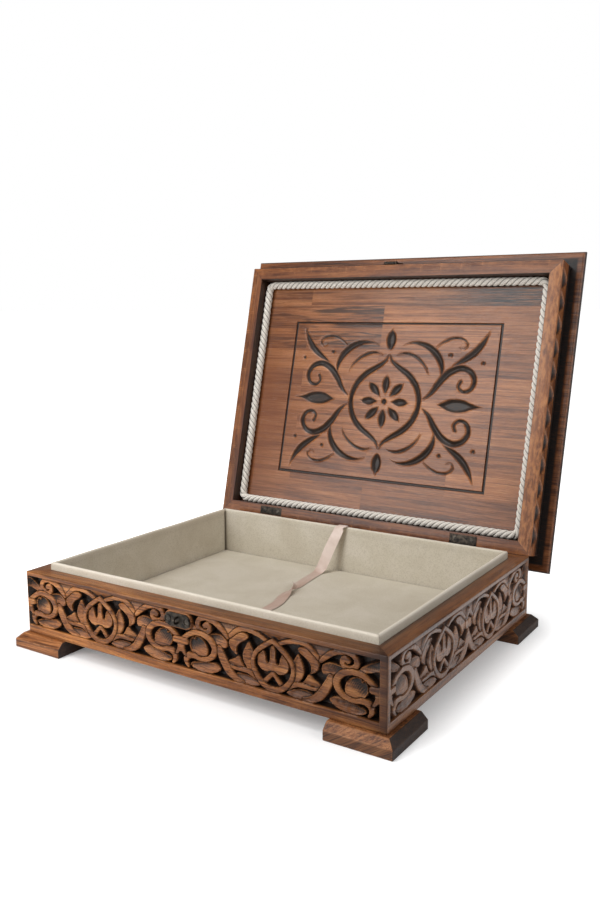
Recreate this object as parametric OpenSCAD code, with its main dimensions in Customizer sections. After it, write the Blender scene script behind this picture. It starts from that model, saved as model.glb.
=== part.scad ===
// Carved wooden book box on block feet, with a lined tray and a hinged lid.
// Millimetres, +Z up, front towards -Y. It stands on its feet with the lid open against its stops.

/* [Box] */
// Outside width of the box, left to right
box_w = 340; // [280:1:420]
// Outside depth of the box, front to back
box_d = 265; // [220:1:340]
// Height of the carved walls
wall_h = 53; // [46:0.5:80]
// Thickness of the carved walls
wall_t = 14; // [13:0.5:18]
// Radius of the upright outside corners
corner_r = 3; // [1:0.5:5]

/* [Carving] */
// Depth of the ground that is cut away between the carved scrolls
carve_depth = 5; // [2:0.5:5]
// Plain wood at each end of a wall
carve_end = 7; // [6:0.5:12]
// Room left over beside the two carved units of a long wall
carve_room = 4; // [0:0.5:10]
// Distance of the middle of the carving from the middle of the front
carve_shift = -2.5; // [-5:0.5:5]
// Distance of a medallion from the middle of a side wall
carve_side_x = 45; // [38:1:52]
// Plain wood round the staple plate
carve_pad = 1.2; // [0.5:0.1:2]

/* [Bottom board] */
// Thickness of the bottom board
bottom_t = 6; // [4:0.5:8]
// Height of the bottom board above the lower edge of the walls
bottom_up = 6; // [4:0.5:10]
// Depth of the groove in the walls that holds the bottom board
groove_depth = 6; // [3:0.5:7]
// Room between the edge of the bottom board and the end of its groove
groove_play = 0.5; // [0.2:0.1:1]

/* [Feet] */
// Side of each square foot block
foot_size = 52; // [46:1:70]
// Height of each foot, which is the clear height under the walls
foot_h = 12; // [10:0.5:20]
// How far each foot stands out past the walls
foot_out = 8; // [6:0.5:12]
// Width of the flat ledge on top of a foot, before its chamfer
foot_ledge = 3; // [1:0.5:4]
// Drop of the chamfer along the top of a foot
foot_drop = 5; // [3:0.5:7]

/* [Tray] */
// Room between the tray and the wooden walls
tray_gap = 0.5; // [0.3:0.1:1]
// Thickness of the lined tray sides
tray_t = 3.2; // [2:0.2:5]
// Thickness of the padded tray floor
tray_floor_t = 4.4; // [3:0.2:6]
// How far the tray sides stand up past the wooden rim
tray_rise = 6.5; // [4:0.5:7]

/* [Ribbon] */
// Width of the lift ribbon
ribbon_w = 10; // [6:0.5:16]
// Thickness of the lift ribbon
ribbon_t = 0.6; // [0.4:0.1:1]
// Distance of the ribbon from the middle of the tray, where it crosses the back side
ribbon_x = -9; // [-60:1:60]
// Distance from the back tray side to where the ribbon reaches the floor
ribbon_foot = 25; // [15:1:40]
// How far the ribbon drifts to the left on its way down
ribbon_drift = 14; // [0:1:25]
// Length of ribbon that lies on the tray floor
ribbon_run = 180; // [120:5:200]
// Room between the ribbon and what it lies on
ribbon_play = 0.3; // [0.2:0.1:0.5]

/* [Lid] */
// Angle that the lid stands open against its stops
lid_open = 104; // [95:1:115]
// Width of the lid rails
lid_rail_w = 12; // [11:0.5:14]
// Height of the lid rails
lid_rail_h = 24; // [24:0.5:36]
// Depth of the recess inside the lid, from its rim to the inner panel
lid_recess = 16; // [15.5:0.5:20]
// Play between the closed lid and the rim of the box
lid_gap = 0.3; // [0.2:0.1:0.6]
// Play round the inner panel
panel_play = 0.2; // [0.1:0.1:0.5]

/* [Lid board] */
// Thickness of the lid board
board_t = 9; // [8:0.5:14]
// How far the lid board stands out past the front and back rails
board_out = 14; // [8:0.5:18]
// How far the lid board stands out past the end rails
board_end_out = 11.5; // [8:0.5:18]
// Height of the chamfer along the upper edge of the lid board
board_top_chamfer = 5; // [2:0.5:5.5]
// Height of the small chamfer along the lower edge of the lid board
board_low_chamfer = 2; // [0.5:0.5:2]

/* [Panel groove] */
// Distance of the groove on the inner panel from the front and the ends of the lid
line_inset = 54.5; // [45:0.5:70]
// Distance of the groove on the inner panel from the back of the lid
line_back_inset = 49.5; // [45:0.5:70]
// Width of the groove on the inner panel
line_w = 2.2; // [1:0.2:4]
// Depth of the groove on the inner panel
line_depth = 1.5; // [0.6:0.1:3]

/* [Panel ornament] */
// Depth of the ornament cut into the inner panel
ornament_depth = 2; // [1:0.1:3]
// Number of petals in the rosette at its middle
petals = 8; // [6:2:8]

/* [Rope trim] */
// Diameter of the rope round the inside of the lid
rope_d = 8; // [5:0.5:8.5]
// Radius of the rope's corners, along its middle
rope_bend = 6; // [5:0.5:12]
// Play between the rope and the wood that it is glued to
rope_play = 0.1; // [0.05:0.05:0.3]

/* [Hinges] */
// Distance of the middle of each hinge from the end of the box
hinge_in = 63; // [50:1:100]
// Length of a hinge along its pin
hinge_w = 26; // [20:1:40]
// Reach of a leaf from the back of the box
leaf_reach = 10; // [9.5:0.5:11]
// Thickness of a leaf
leaf_t = 1; // [0.8:0.1:1.6]
// Radius of the hinge barrel
barrel_r = 2; // [1.6:0.1:2.6]
// Radius of the hinge pin
hinge_pin_r = 1; // [0.7:0.1:1.2]
// Room between neighbouring knuckles, and round a knuckle
knuckle_gap = 0.3; // [0.2:0.1:0.5]
// Length of the stop heel under the barrel
heel_len = 7; // [5:0.5:12]
// Thickness of the stop heel
heel_t = 1.2; // [0.8:0.1:1.4]

/* [Latch] */
// Distance of the latch from the middle of the front
latch_x = -4; // [-40:1:40]
// Width of both latch plates
latch_plate_w = 24; // [23:0.5:34]
// Height of both latch plates
latch_plate_h = 10.5; // [9:0.5:14]
// Thickness of both latch plates
latch_plate_t = 0.8; // [0.6:0.1:1.2]
// Height of the hasp pin above the rim of the closed lid
hasp_pin_up = 2.5; // [2.2:0.1:4]
// Distance of the hasp pin from the front of the lid
hasp_pin_off = 2.1; // [1.9:0.1:2.4]
// Radius of the hasp's barrel
hasp_barrel_r = 1.7; // [1.4:0.1:1.8]
// Radius of the hasp pin
hasp_pin_r = 0.7; // [0.5:0.1:0.9]
// Width of the hasp
hasp_w = 8; // [6:0.5:8.5]
// Thickness of the hasp
hasp_t = 1; // [0.8:0.1:1.2]
// Outside radius of the finger ring on the hasp
ring_r = 3; // [2.5:0.1:3.2]
// Thickness of the metal in the finger ring and the staple
ring_t = 1.4; // [1:0.1:1.6]
// Distance of the staple below the rim of the box
staple_down = 10; // [9.5:0.5:11]
// Outside radius of the staple
staple_r = 2.8; // [2.4:0.1:3]
// How far the staple stands out from the front wall
staple_out = 5.4; // [5:0.1:6.5]
// Room between the staple and the slot in the hasp
slot_play = 0.5; // [0.4:0.1:0.8]
// Room between the finger ring and the lid rail, with the hasp folded up
fold_gap = 0.5; // [0.3:0.1:1]

/* [Screws] */
// Radius of the foot screws
foot_screw_r = 1.6; // [1.2:0.1:1.8]
// How far the foot screws reach into the walls
foot_screw_bite = 6; // [4:0.5:6.5]
// Depth of a foot screw's head below the sole
foot_screw_sink = 1; // [0.5:0.1:2]
// Distance of the foot screws from the corner of the box
foot_screw_in = 30; // [24:1:34]
// Radius of the hinge and latch screws
small_screw_r = 0.9; // [0.7:0.1:1]
// Length of the hinge and latch screws
small_screw_len = 8; // [6:0.5:10]
// Distance of the hinge screws from the back of the box
leaf_screw_in = 7; // [6:0.5:7.5]
// Distance of the hinge screws from the middle of the hinge
leaf_screw_x = 8; // [6:0.5:9]
// Distance of the latch screws from the middle of the latch
latch_screw_x = 9; // [8.5:0.5:10]

/* [Fits] */
// Radial play of a pin in its knuckles
pin_fit = 0.05; // [0.02:0.01:0.1]
// Radial play of a screw in its hole
screw_fit = 0.05; // [0.02:0.01:0.1]
// Play of a leaf or a barrel in the wood that it is let into
leaf_play = 0.2; // [0.1:0.1:0.4]

/* [Hidden] */
$fn = 48;

carved_wood = "#7b4628";
dark_wood = "#5a2f1b";
suede = "#c6bdab";
satin = "#dcc0b2";
cream_cord = "#d8d0c0";
antique_metal = "#3b352f";

// A little more than a cut needs, so that it passes right through
over = 1;
// Heights of the box, from the floor up
rim_z = foot_h + wall_h;
tray_z = foot_h + bottom_up + bottom_t;
tray_floor_z = tray_z + tray_floor_t;
tray_top_z = rim_z + tray_rise;
// Outside of the tray
tray_w = box_w - 2 * (wall_t + tray_gap);
tray_d = box_d - 2 * (wall_t + tray_gap);
// Heights of the closed lid
lid_z = rim_z + lid_gap;
board_z = lid_z + lid_rail_h;
panel_z = lid_z + lid_recess;
// Opening inside the lid rails
lid_in_w = box_w - 2 * lid_rail_w;
lid_in_d = box_d - 2 * lid_rail_w;
// The hinge pins lie on the line where the rim meets the back of the box
axis_y = box_d / 2;
axis_z = rim_z;
hinge_x = box_w / 2 - hinge_in;
knuckle_w = hinge_w / 3;
lid_knuckle_w = knuckle_w - 2 * knuckle_gap;
heel_w = lid_knuckle_w - 2 * knuckle_gap;
// Height of the hasp pin on the closed lid, and its distance from the staple
hasp_z = lid_z + hasp_pin_up;
staple_reach = hasp_z - rim_z + staple_down;
slot_end = staple_reach + staple_r + slot_play;
ring_reach = slot_end + slot_play + ring_t;
hasp_len = ring_reach + ring_t;
// The finger ring rests near the rail when the hasp is folded up, which leaves the hasp leaning by this angle
ring_depth = 2 * ring_r;
ring_swing = norm([ring_reach, ring_depth]);
hasp_lean = atan2(ring_depth, ring_reach) + asin((fold_gap - hasp_pin_off) / ring_swing);
hasp_fold = 180 - hasp_lean;
// The solid web of a wall outside the groove takes the foot screws, below the carving
foot_screw_edge = (wall_t - groove_depth) / 2;
foot_screw_len = foot_h - foot_screw_sink + foot_screw_bite;
// Two carved units stand along each long wall, and each unit is two mirrored halves
carve_half = (box_w / 2 - carve_room) / 2;
// The part stands with the middle of its whole length, open lid included, at the origin
function opened_y(y, z) = axis_y + (y - axis_y) * cos(lid_open) + (z - axis_z) * sin(lid_open);
lid_back_y = max(
    opened_y(-box_d / 2 - board_out, board_z + board_t - board_top_chamfer),
    opened_y(-box_d / 2 - board_out + board_top_chamfer, board_z + board_t)
);
stand_y = (lid_back_y - box_d / 2 - foot_out) / 2;

// Moves the box so that the whole part is centred on the origin
module standing() {
    translate([0, -stand_y, 0]) children();
}

// Swings a closed lid piece open about the hinge pins
module opened() {
    standing() translate([0, axis_y, axis_z]) rotate([-lid_open, 0, 0])
        translate([0, -axis_y, -axis_z]) children();
}

// Turns a piece to each of the four sides: front 0, right 1, back 2, left 3
module on_side(side, width, depth) {
    away = side % 2 == 0 ? depth / 2 : width / 2;
    rotate(90 * side) translate([0, -away, 0]) children();
}

// The outline of one mitred side, its outer face along the X axis and its outer corners rounded
module mitred_outline(length, thick, round_r) {
    difference() {
        polygon([[-length / 2, 0], [length / 2, 0], [length / 2 - thick, thick], [-length / 2 + thick, thick]]);
        if (round_r > 0)
            for (end = [-1, 1])
                translate([end * length / 2, 0]) scale([-end, 1]) corner_waste(round_r);
    }
}

// What rounding takes off an outer corner
module corner_waste(round_r) {
    difference() {
        translate([-over, -over]) square(round_r + over);
        translate([round_r, round_r]) circle(round_r);
    }
}

// One of four mitred sides that make a frame
module frame_side(side, width, depth, thick, low, high, round_r) {
    length = side % 2 == 0 ? width : depth;
    translate([0, 0, low]) on_side(side, width, depth)
        linear_extrude(high - low) mitred_outline(length, thick, round_r);
}

// A countersunk screw, its head flush with z = 0 and its point down
module screw(r, length) {
    difference() {
        union() {
            translate([0, 0, -length]) cylinder(r = r, h = length);
            translate([0, 0, -r]) cylinder(r1 = r, r2 = 2 * r, h = r);
        }
        translate([-2 * r, -r / 4, -r / 2]) cube([4 * r, r / 2, r]);
    }
}

// The hole for that screw, open above its head
module screw_hole(r, length, sink = 1) {
    hole_r = r + screw_fit;
    head_r = 2 * r + screw_fit;
    translate([0, 0, -length - screw_fit]) cylinder(r = hole_r, h = length + screw_fit);
    translate([0, 0, -r]) cylinder(r1 = hole_r, r2 = head_r, h = r);
    cylinder(r = head_r, h = sink);
}

// Puts a piece at each foot screw: two to a foot, one in each wall
module at_foot_screws(signs_x = [-1, 1], signs_y = [-1, 1]) {
    spots = [
        [box_w / 2 - foot_screw_in, box_d / 2 - foot_screw_edge],
        [box_w / 2 - foot_screw_edge, box_d / 2 - foot_screw_in]
    ];
    for (sx = signs_x, sy = signs_y, spot = spots)
        translate([sx * spot[0], sy * spot[1], foot_screw_sink]) rotate([180, 0, 0]) children();
}

module foot_screw_holes(signs_x = [-1, 1], signs_y = [-1, 1]) {
    at_foot_screws(signs_x, signs_y) screw_hole(foot_screw_r, foot_screw_len, foot_screw_sink + over);
}

// The carver's drawing: the ground that is cut away in half a unit, with each point's distance along the wall
// from the middle of a medallion to the tie beside it, and its height above the wall's lower edge
unit_size = [83, 53];
unit_ground = [
    [[2.4, 39.5], [7, 37.4], [11.5, 33.8], [9.8, 34.2], [8, 35.6], [6.4, 33.4], [4.8, 28], [3.2, 29],
        [2.2, 33]],
    [[12.6, 24], [14.6, 22.5], [13, 18.5], [9.2, 13.9], [6, 16.8], [3, 19.6], [2.2, 22], [5.4, 20.8],
        [9.6, 21.4]],
    [[10.5, 39.5], [13.8, 37], [16.8, 34.5], [19.5, 37.5], [20.8, 39.6], [21, 42], [20.5, 45.6], [15.5, 45.2],
        [10, 43], [6.5, 41.8]],
    [[21.8, 39], [24.4, 37.8], [28, 36], [30, 33], [30.6, 29.5], [30.6, 27.4], [28.8, 26.6], [26.4, 22.4],
        [24.6, 21.6], [25.6, 23.8], [26.6, 27], [26.2, 31], [24.8, 34.6]],
    [[38, 34.8], [38.6, 30.2], [44, 28.6], [43.2, 26], [40.6, 21.4], [36.8, 23], [32.4, 25.6], [32.6, 27.4],
        [35.4, 28.6], [37.8, 31]],
    [[40.8, 37.6], [43.4, 40], [47.6, 43.2], [53.4, 46], [54, 43.6], [53.4, 40.6], [55.6, 37.8], [52.4, 39.6],
        [45.2, 40]],
    [[54.6, 29], [57.6, 32.4], [63, 34.6], [68.4, 34.4], [74.4, 31.2], [75.6, 27.2], [75.2, 23.4], [73.8, 24],
        [73.9, 28.2], [72, 30.8], [70.2, 30], [69, 32.4], [65.6, 32.8], [61.4, 31], [57.8, 27.4], [57.2, 23],
        [55, 23.4], [53.8, 26]],
    [[47, 24.4], [49.2, 23], [51.4, 19.4], [55, 16.6], [50, 17], [45.4, 14.8], [44.4, 16.2], [45, 19.6]],
    [[42, 12.6], [44.8, 13], [47, 10.6], [50, 8.2], [36, 8.2], [40, 10.4]],
    [[76, 37.2], [83, 31.6], [83, 39.8], [79.8, 39.2]],
    [[68, 43.4], [72, 44.4], [77, 46.4], [83, 47.9], [83, 49], [66.4, 49], [67.6, 46.8]],
    [[79.4, 25], [79.6, 22], [78.4, 18.8], [76, 19.6], [76.6, 23], [77.4, 25]],
    [[79.8, 15.8], [81.6, 17.2], [83, 18.4], [83, 8.2], [77.6, 8.2], [79.2, 11], [80, 13.6]]
];

// Carved walls and bottom

// The shapes of half a unit that lie within reach of its medallion
module half_unit(reach) {
    for (shape = unit_ground) {
        outline = [for (p = shape) [p[0] * carve_half / unit_size[0], p[1] * wall_h / unit_size[1]]];
        if (max([for (p = outline) p[0]]) <= reach)
            polygon(outline);
    }
}

// The ground of one wall: a unit each side of the carving's middle, as far as the plain ends
module wall_ground(length, unit_x, middle) {
    for (way = [-1, 1])
        translate([middle, 0]) mirror([way < 0 ? 1 : 0, 0]) translate([unit_x, 0]) {
            half_unit(length / 2 - carve_end - way * middle - unit_x);
            mirror([1, 0]) half_unit(unit_x);
        }
}

// The plain pad that the staple plate is screwed to
module staple_pad() {
    end_x = (latch_plate_w - latch_plate_h) / 2;
    pad_r = latch_plate_h / 2 + carve_pad;
    translate([latch_x, wall_h - staple_down]) {
        square([2 * end_x, 2 * pad_r], center = true);
        for (sign = [-1, 1])
            translate([sign * end_x, 0]) circle(pad_r);
    }
}

// Sinks the ground of one wall into its outer face
module sunk(side) {
    on_side(side, box_w, box_d) translate([0, carve_depth, foot_h]) rotate([90, 0, 0])
        linear_extrude(carve_depth + over) children();
}

module bottom_groove() {
    size = [box_w - 2 * (wall_t - groove_depth), box_d - 2 * (wall_t - groove_depth)];
    translate([-size[0] / 2, -size[1] / 2, foot_h + bottom_up]) cube([size[0], size[1], bottom_t]);
}

module wall(side) {
    difference() {
        frame_side(side, box_w, box_d, wall_t, foot_h, rim_z, corner_r);
        bottom_groove();
        foot_screw_holes();
        children();
    }
}

module front_wall() {
    color(carved_wood) standing() wall(0) {
        staple_screw_spots() screw_hole(small_screw_r, small_screw_len);
        sunk(0) difference() {
            wall_ground(box_w, carve_half, carve_shift);
            staple_pad();
        }
    }
}

module right_wall() {
    color(carved_wood) standing() wall(1) sunk(1) wall_ground(box_d, carve_side_x, 0);
}

module back_wall() {
    color(carved_wood) standing() wall(2) {
        at_hinges() leaf_mortise(-1);
        sunk(2) wall_ground(box_w, carve_half, 0);
    }
}

module left_wall() {
    color(carved_wood) standing() wall(3) sunk(3) wall_ground(box_d, carve_side_x, 0);
}

module bottom_board() {
    inset = wall_t - groove_depth + groove_play;
    size = [box_w - 2 * inset, box_d - 2 * inset];
    color(dark_wood) standing()
        translate([-size[0] / 2, -size[1] / 2, foot_h + bottom_up]) cube([size[0], size[1], bottom_t]);
}

// Feet

// Side view of a foot: a flat ledge under the wall, a chamfer and an upright edge on the outer end
module foot_profile() {
    polygon([
        [0, 0], [foot_size, 0], [foot_size, foot_h - foot_drop],
        [foot_size - foot_out + foot_ledge, foot_h], [0, foot_h]
    ]);
}

module foot(sx, sy) {
    color(carved_wood) standing() difference() {
        translate([sx * (box_w / 2 + foot_out - foot_size), sy * (box_d / 2 + foot_out - foot_size), 0])
            scale_to(sx, sy) intersection() {
                translate([0, foot_size, 0]) rotate([90, 0, 0]) linear_extrude(foot_size) foot_profile();
                rotate([90, 0, 90]) linear_extrude(foot_size) foot_profile();
            }
        foot_screw_holes([sx], [sy]);
    }
}

// Mirrors a piece made for the back right corner to another corner
module scale_to(sx, sy) {
    mirror([sx < 0 ? 1 : 0, 0, 0]) mirror([0, sy < 0 ? 1 : 0, 0]) children();
}

module foot_front_left() {
    foot(-1, -1);
}

module foot_front_right() {
    foot(1, -1);
}

module foot_back_left() {
    foot(-1, 1);
}

module foot_back_right() {
    foot(1, 1);
}

module foot_screws() {
    color(antique_metal) standing() at_foot_screws() screw(foot_screw_r, foot_screw_len);
}

// Lined tray and its ribbon

module tray_side(side) {
    color(suede) standing() frame_side(side, tray_w, tray_d, tray_t, tray_z, tray_top_z, 0);
}

module tray_front() {
    tray_side(0);
}

module tray_right() {
    tray_side(1);
}

module tray_back() {
    tray_side(2);
}

module tray_left() {
    tray_side(3);
}

module tray_floor() {
    size = [tray_w - 2 * tray_t, tray_d - 2 * tray_t];
    color(suede) standing()
        translate([-size[0] / 2, -size[1] / 2, tray_z]) cube([size[0], size[1], tray_floor_t]);
}

// The ribbon crosses the top of the back tray side, slants down to the floor and runs to the front
ribbon_in_y = tray_d / 2 - tray_t;
ribbon_top_z = tray_top_z + ribbon_play;
ribbon_low_z = tray_floor_z + ribbon_play;
ribbon_foot_y = ribbon_in_y - ribbon_foot;
ribbon_route = [
    [ribbon_x, ribbon_in_y + tray_t, ribbon_top_z],
    [ribbon_x, ribbon_in_y, ribbon_top_z],
    [ribbon_x - 0.1 * ribbon_drift, ribbon_in_y - 0.1 * ribbon_foot, ribbon_top_z - 2 * ribbon_t],
    [ribbon_x - 0.2 * ribbon_drift, ribbon_in_y - 0.2 * ribbon_foot, ribbon_top_z - 10 * ribbon_t],
    [ribbon_x - 0.8 * ribbon_drift, ribbon_in_y - 0.7 * ribbon_foot, ribbon_low_z + 12 * ribbon_t],
    [ribbon_x - ribbon_drift, ribbon_in_y - 0.9 * ribbon_foot, ribbon_low_z + 3 * ribbon_t],
    [ribbon_x - ribbon_drift, ribbon_foot_y, ribbon_low_z],
    [ribbon_x - 0.7 * ribbon_drift, ribbon_foot_y - 0.2 * ribbon_run, ribbon_low_z],
    [ribbon_x - 0.3 * ribbon_drift, ribbon_foot_y - 0.4 * ribbon_run, ribbon_low_z],
    [ribbon_x + 0.3 * ribbon_drift, ribbon_foot_y - 0.5 * ribbon_run, ribbon_low_z],
    [ribbon_x + 0.3 * ribbon_drift, ribbon_foot_y - ribbon_run, ribbon_low_z]
];

// Square to the ribbon's run at one point of its route, on its upper side
function ribbon_normal(i) =
    let (
        a = ribbon_route[max(i - 1, 0)],
        b = ribbon_route[min(i + 1, len(ribbon_route) - 1)],
        run = [b[1] - a[1], b[2] - a[2]]
    ) [0, run[1], -run[0]] / norm(run);

module lift_ribbon() {
    last = len(ribbon_route) - 1;
    half = [ribbon_w / 2, 0, 0];
    points = [
        for (i = [0:last])
            let (p = ribbon_route[i], up = ribbon_t * ribbon_normal(i))
                each [p - half, p + half, p + half + up, p - half + up]
    ];
    sides = [
        for (i = [0:last - 1], k = [0:3])
            let (a = 4 * i + k, b = 4 * i + (k + 1) % 4)
                each [[a, b, a + 4], [b, b + 4, a + 4]]
    ];
    end = 4 * last;
    caps = [[0, 2, 1], [0, 3, 2], [end, end + 1, end + 2], [end, end + 2, end + 3]];
    color(satin) standing() polyhedron(points, concat(sides, caps));
}

// Hinges, each in a frame with the pin along X and the box in front of it

module at_hinges(signs = [-1, 1]) {
    for (sign = signs)
        translate([sign * hinge_x, axis_y, axis_z]) children();
}

module along_pin(r, length, x = 0) {
    translate([x - length / 2, 0, 0]) rotate([0, 90, 0]) cylinder(r = r, h = length);
}

// The flat of a leaf: up is 1 for the lid and -1 for the box
module leaf_flat(up, play = 0) {
    low = up > 0 ? lid_gap : -leaf_t;
    translate([-hinge_w / 2 - play, -leaf_reach - play, low])
        cube([hinge_w + 2 * play, leaf_reach + play, leaf_t]);
}

module at_leaf_screws(up) {
    for (sign = [-1, 1])
        translate([sign * leaf_screw_x, -leaf_screw_in, up > 0 ? lid_gap : 0])
            rotate([up > 0 ? 180 : 0, 0, 0]) children();
}

// What is cut out of the wood for a leaf, its barrel and its screws
module leaf_mortise(up) {
    leaf_flat(up, leaf_play);
    along_pin(barrel_r + leaf_play, hinge_w + 2 * leaf_play);
    at_leaf_screws(up) screw_hole(small_screw_r, small_screw_len);
}

module leaf_holes(up) {
    along_pin(hinge_pin_r + pin_fit, hinge_w + 2 * over);
    at_leaf_screws(up) screw_hole(small_screw_r, small_screw_len);
}

module base_leaf(sign) {
    color(antique_metal) standing() at_hinges([sign]) difference() {
        union() {
            leaf_flat(-1);
            for (side = [-1, 1])
                along_pin(barrel_r, knuckle_w, side * knuckle_w);
        }
        along_pin(barrel_r + knuckle_gap, knuckle_w);
        leaf_holes(-1);
    }
}

module lid_leaf(sign) {
    color(antique_metal) opened() at_hinges([sign]) difference() {
        union() {
            difference() {
                leaf_flat(1);
                for (side = [-1, 1])
                    along_pin(barrel_r + knuckle_gap, knuckle_w + 4 * knuckle_gap, side * knuckle_w);
            }
            along_pin(barrel_r, lid_knuckle_w);
            stop_heel();
        }
        leaf_holes(1);
    }
}

// The heel comes to lie against the back wall when the lid is open
module stop_heel() {
    rotate([lid_open, 0, 0]) translate([-heel_w / 2, knuckle_gap, -heel_len])
        cube([heel_w, heel_t, heel_len]);
}

module hinge_pin(sign) {
    color(antique_metal) standing() at_hinges([sign]) along_pin(hinge_pin_r, hinge_w);
}

module left_hinge_base_leaf() {
    base_leaf(-1);
}

module right_hinge_base_leaf() {
    base_leaf(1);
}

module left_hinge_lid_leaf() {
    lid_leaf(-1);
}

module right_hinge_lid_leaf() {
    lid_leaf(1);
}

module left_hinge_pin() {
    hinge_pin(-1);
}

module right_hinge_pin() {
    hinge_pin(1);
}

module base_hinge_screws() {
    color(antique_metal) standing() at_hinges() at_leaf_screws(-1) screw(small_screw_r, small_screw_len);
}

module lid_hinge_screws() {
    color(antique_metal) opened() at_hinges() at_leaf_screws(1) screw(small_screw_r, small_screw_len);
}

// Lid

module lid_rail(side) {
    difference() {
        frame_side(side, box_w, box_d, lid_rail_w, lid_z, board_z, corner_r);
        children();
    }
}

module lid_front_rail() {
    color(carved_wood) opened() lid_rail(0) latch_screw_spots() screw_hole(small_screw_r, small_screw_len);
}

module lid_right_rail() {
    color(carved_wood) opened() lid_rail(1);
}

module lid_back_rail() {
    color(carved_wood) opened() lid_rail(2) at_hinges() leaf_mortise(1);
}

module lid_left_rail() {
    color(carved_wood) opened() lid_rail(3);
}

// Section of the lid board: small chamfers below, larger ones above
module board_profile(half) {
    low = board_low_chamfer;
    high = board_top_chamfer;
    right_side = [[half - low, 0], [half, low], [half, board_t - high], [half - high, board_t]];
    left_side = [for (i = [3:-1:0]) [-right_side[i][0], right_side[i][1]]];
    polygon(concat(right_side, left_side));
}

module lid_top_board() {
    half_w = box_w / 2 + board_end_out;
    half_d = box_d / 2 + board_out;
    color(carved_wood) opened() translate([0, 0, board_z]) intersection() {
        translate([0, half_d, 0]) rotate([90, 0, 0]) linear_extrude(2 * half_d) board_profile(half_w);
        translate([-half_w, 0, 0]) rotate([90, 0, 90]) linear_extrude(2 * half_w) board_profile(half_d);
    }
}

// The groove is a thin rectangle, square to the lid's own sides
line_size = [box_w - 2 * line_inset, box_d - line_inset - line_back_inset];

// Cuts an outline into the inner panel, about the middle of the groove
module cut_in(depth) {
    middle_y = (line_inset - line_back_inset) / 2;
    translate([0, middle_y, panel_z - over]) linear_extrude(depth + over) children();
}

module panel_line() {
    difference() {
        square(line_size, center = true);
        square([line_size[0] - 2 * line_w, line_size[1] - 2 * line_w], center = true);
    }
}

// A quarter of the ornament, drawn for a groove of ornament_frame. A stroke has points along its middle,
// each with its half width, and a leaf has points along the upper half of its edge, from its foot to its tip.
ornament_frame = [231, 161];
ornament_strokes = [
    [[0, 48, 0.8], [4.5, 40.5, 2], [13, 34.5, 3], [24, 27.5, 3.5], [33, 17.5, 3.3], [37.5, 6, 2.9],
        [38, -3, 2.8]],
    [[42.5, 4.5, 0.9], [50, 11, 2.4], [57, 21.5, 3.5], [66, 31.5, 3.9], [77.5, 36.5, 3.6], [88, 33.5, 3.1],
        [93, 25, 2.7], [90, 16.5, 2.4], [82.5, 14, 2.1], [77.5, 18.5, 1.8], [79.5, 24, 1.9]],
    [[58.5, 27, 0.8], [58, 37, 2.6], [53, 47, 3.7], [44, 55, 3.6], [33, 59.5, 2.6], [22, 60, 1.3],
        [14, 57.5, 0.5]],
    [[69.5, 38.5, 0.9], [80, 44.5, 3], [89.5, 51.5, 3.7], [96.5, 60, 3], [101, 68, 1.4], [103.5, 73.5, 0.4]],
    [[8, 47.5, 0.6], [16, 49.5, 1.6], [25, 48, 2], [34, 43, 1.8], [41, 36, 1.3], [44.5, 29, 0.6]],
    [[49, 55, 0.6], [57, 61.5, 1.4], [67, 65.5, 1.7], [77, 64.5, 1.5], [82, 59.5, 1.2], [79, 55, 1],
        [74.5, 56.5, 0.7]]
];
end_leaf = [[57, 0], [64, 3.2], [73, 6.6], [83, 6.4], [92, 3.4], [99, 1.4], [107, 0]];
top_leaf = [[52, 0], [56, 3.4], [61.5, 5.6], [66.5, 4.8], [71, 1.8], [76.5, 0]];
petal = [[6.5, 0], [11, 2.2], [16.5, 4.4], [21.5, 3.6], [25, 1.4], [28.5, 0]];
// Each dot has its place and its radius, and the last one is the eye of the rosette
ornament_dots = [[66, 49, 2.3], [100, 42, 2.2], [0, 0, 3.4]];

// A point on the edge of a stroke, square to its run
function stroke_edge(path, i, way) =
    let (
        a = path[max(i - 1, 0)],
        b = path[min(i + 1, len(path) - 1)],
        run = [b[0] - a[0], b[1] - a[1]]
    ) [path[i][0], path[i][1]] + way * path[i][2] * [-run[1], run[0]] / norm(run);

module stroke(path) {
    last = len(path) - 1;
    polygon(concat(
        [for (i = [0:last]) stroke_edge(path, i, 1)],
        [for (i = [last:-1:0]) stroke_edge(path, i, -1)]
    ));
}

module leaf(edge) {
    polygon(concat(edge, [for (i = [len(edge) - 2:-1:1]) [edge[i][0], -edge[i][1]]]));
}

module ornament() {
    scale(min(line_size[0] / ornament_frame[0], line_size[1] / ornament_frame[1])) {
        for (sx = [-1, 1], sy = [-1, 1])
            scale_to(sx, sy) {
                for (path = ornament_strokes)
                    stroke(path);
                for (dot = ornament_dots)
                    translate([dot[0], dot[1]]) circle(dot[2], $fn = 12);
            }
        for (half_turn = [0, 180]) {
            rotate(half_turn) leaf(end_leaf);
            rotate(half_turn + 90) leaf(top_leaf);
        }
        for (k = [0:petals - 1])
            rotate(360 * k / petals) leaf(petal);
    }
}

module lid_inner_panel() {
    size = [lid_in_w - 2 * panel_play, lid_in_d - 2 * panel_play];
    color(carved_wood) opened() difference() {
        translate([-size[0] / 2, -size[1] / 2, panel_z]) cube([size[0], size[1], lid_rail_h - lid_recess]);
        cut_in(line_depth) panel_line();
        cut_in(ornament_depth) ornament();
    }
}

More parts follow.
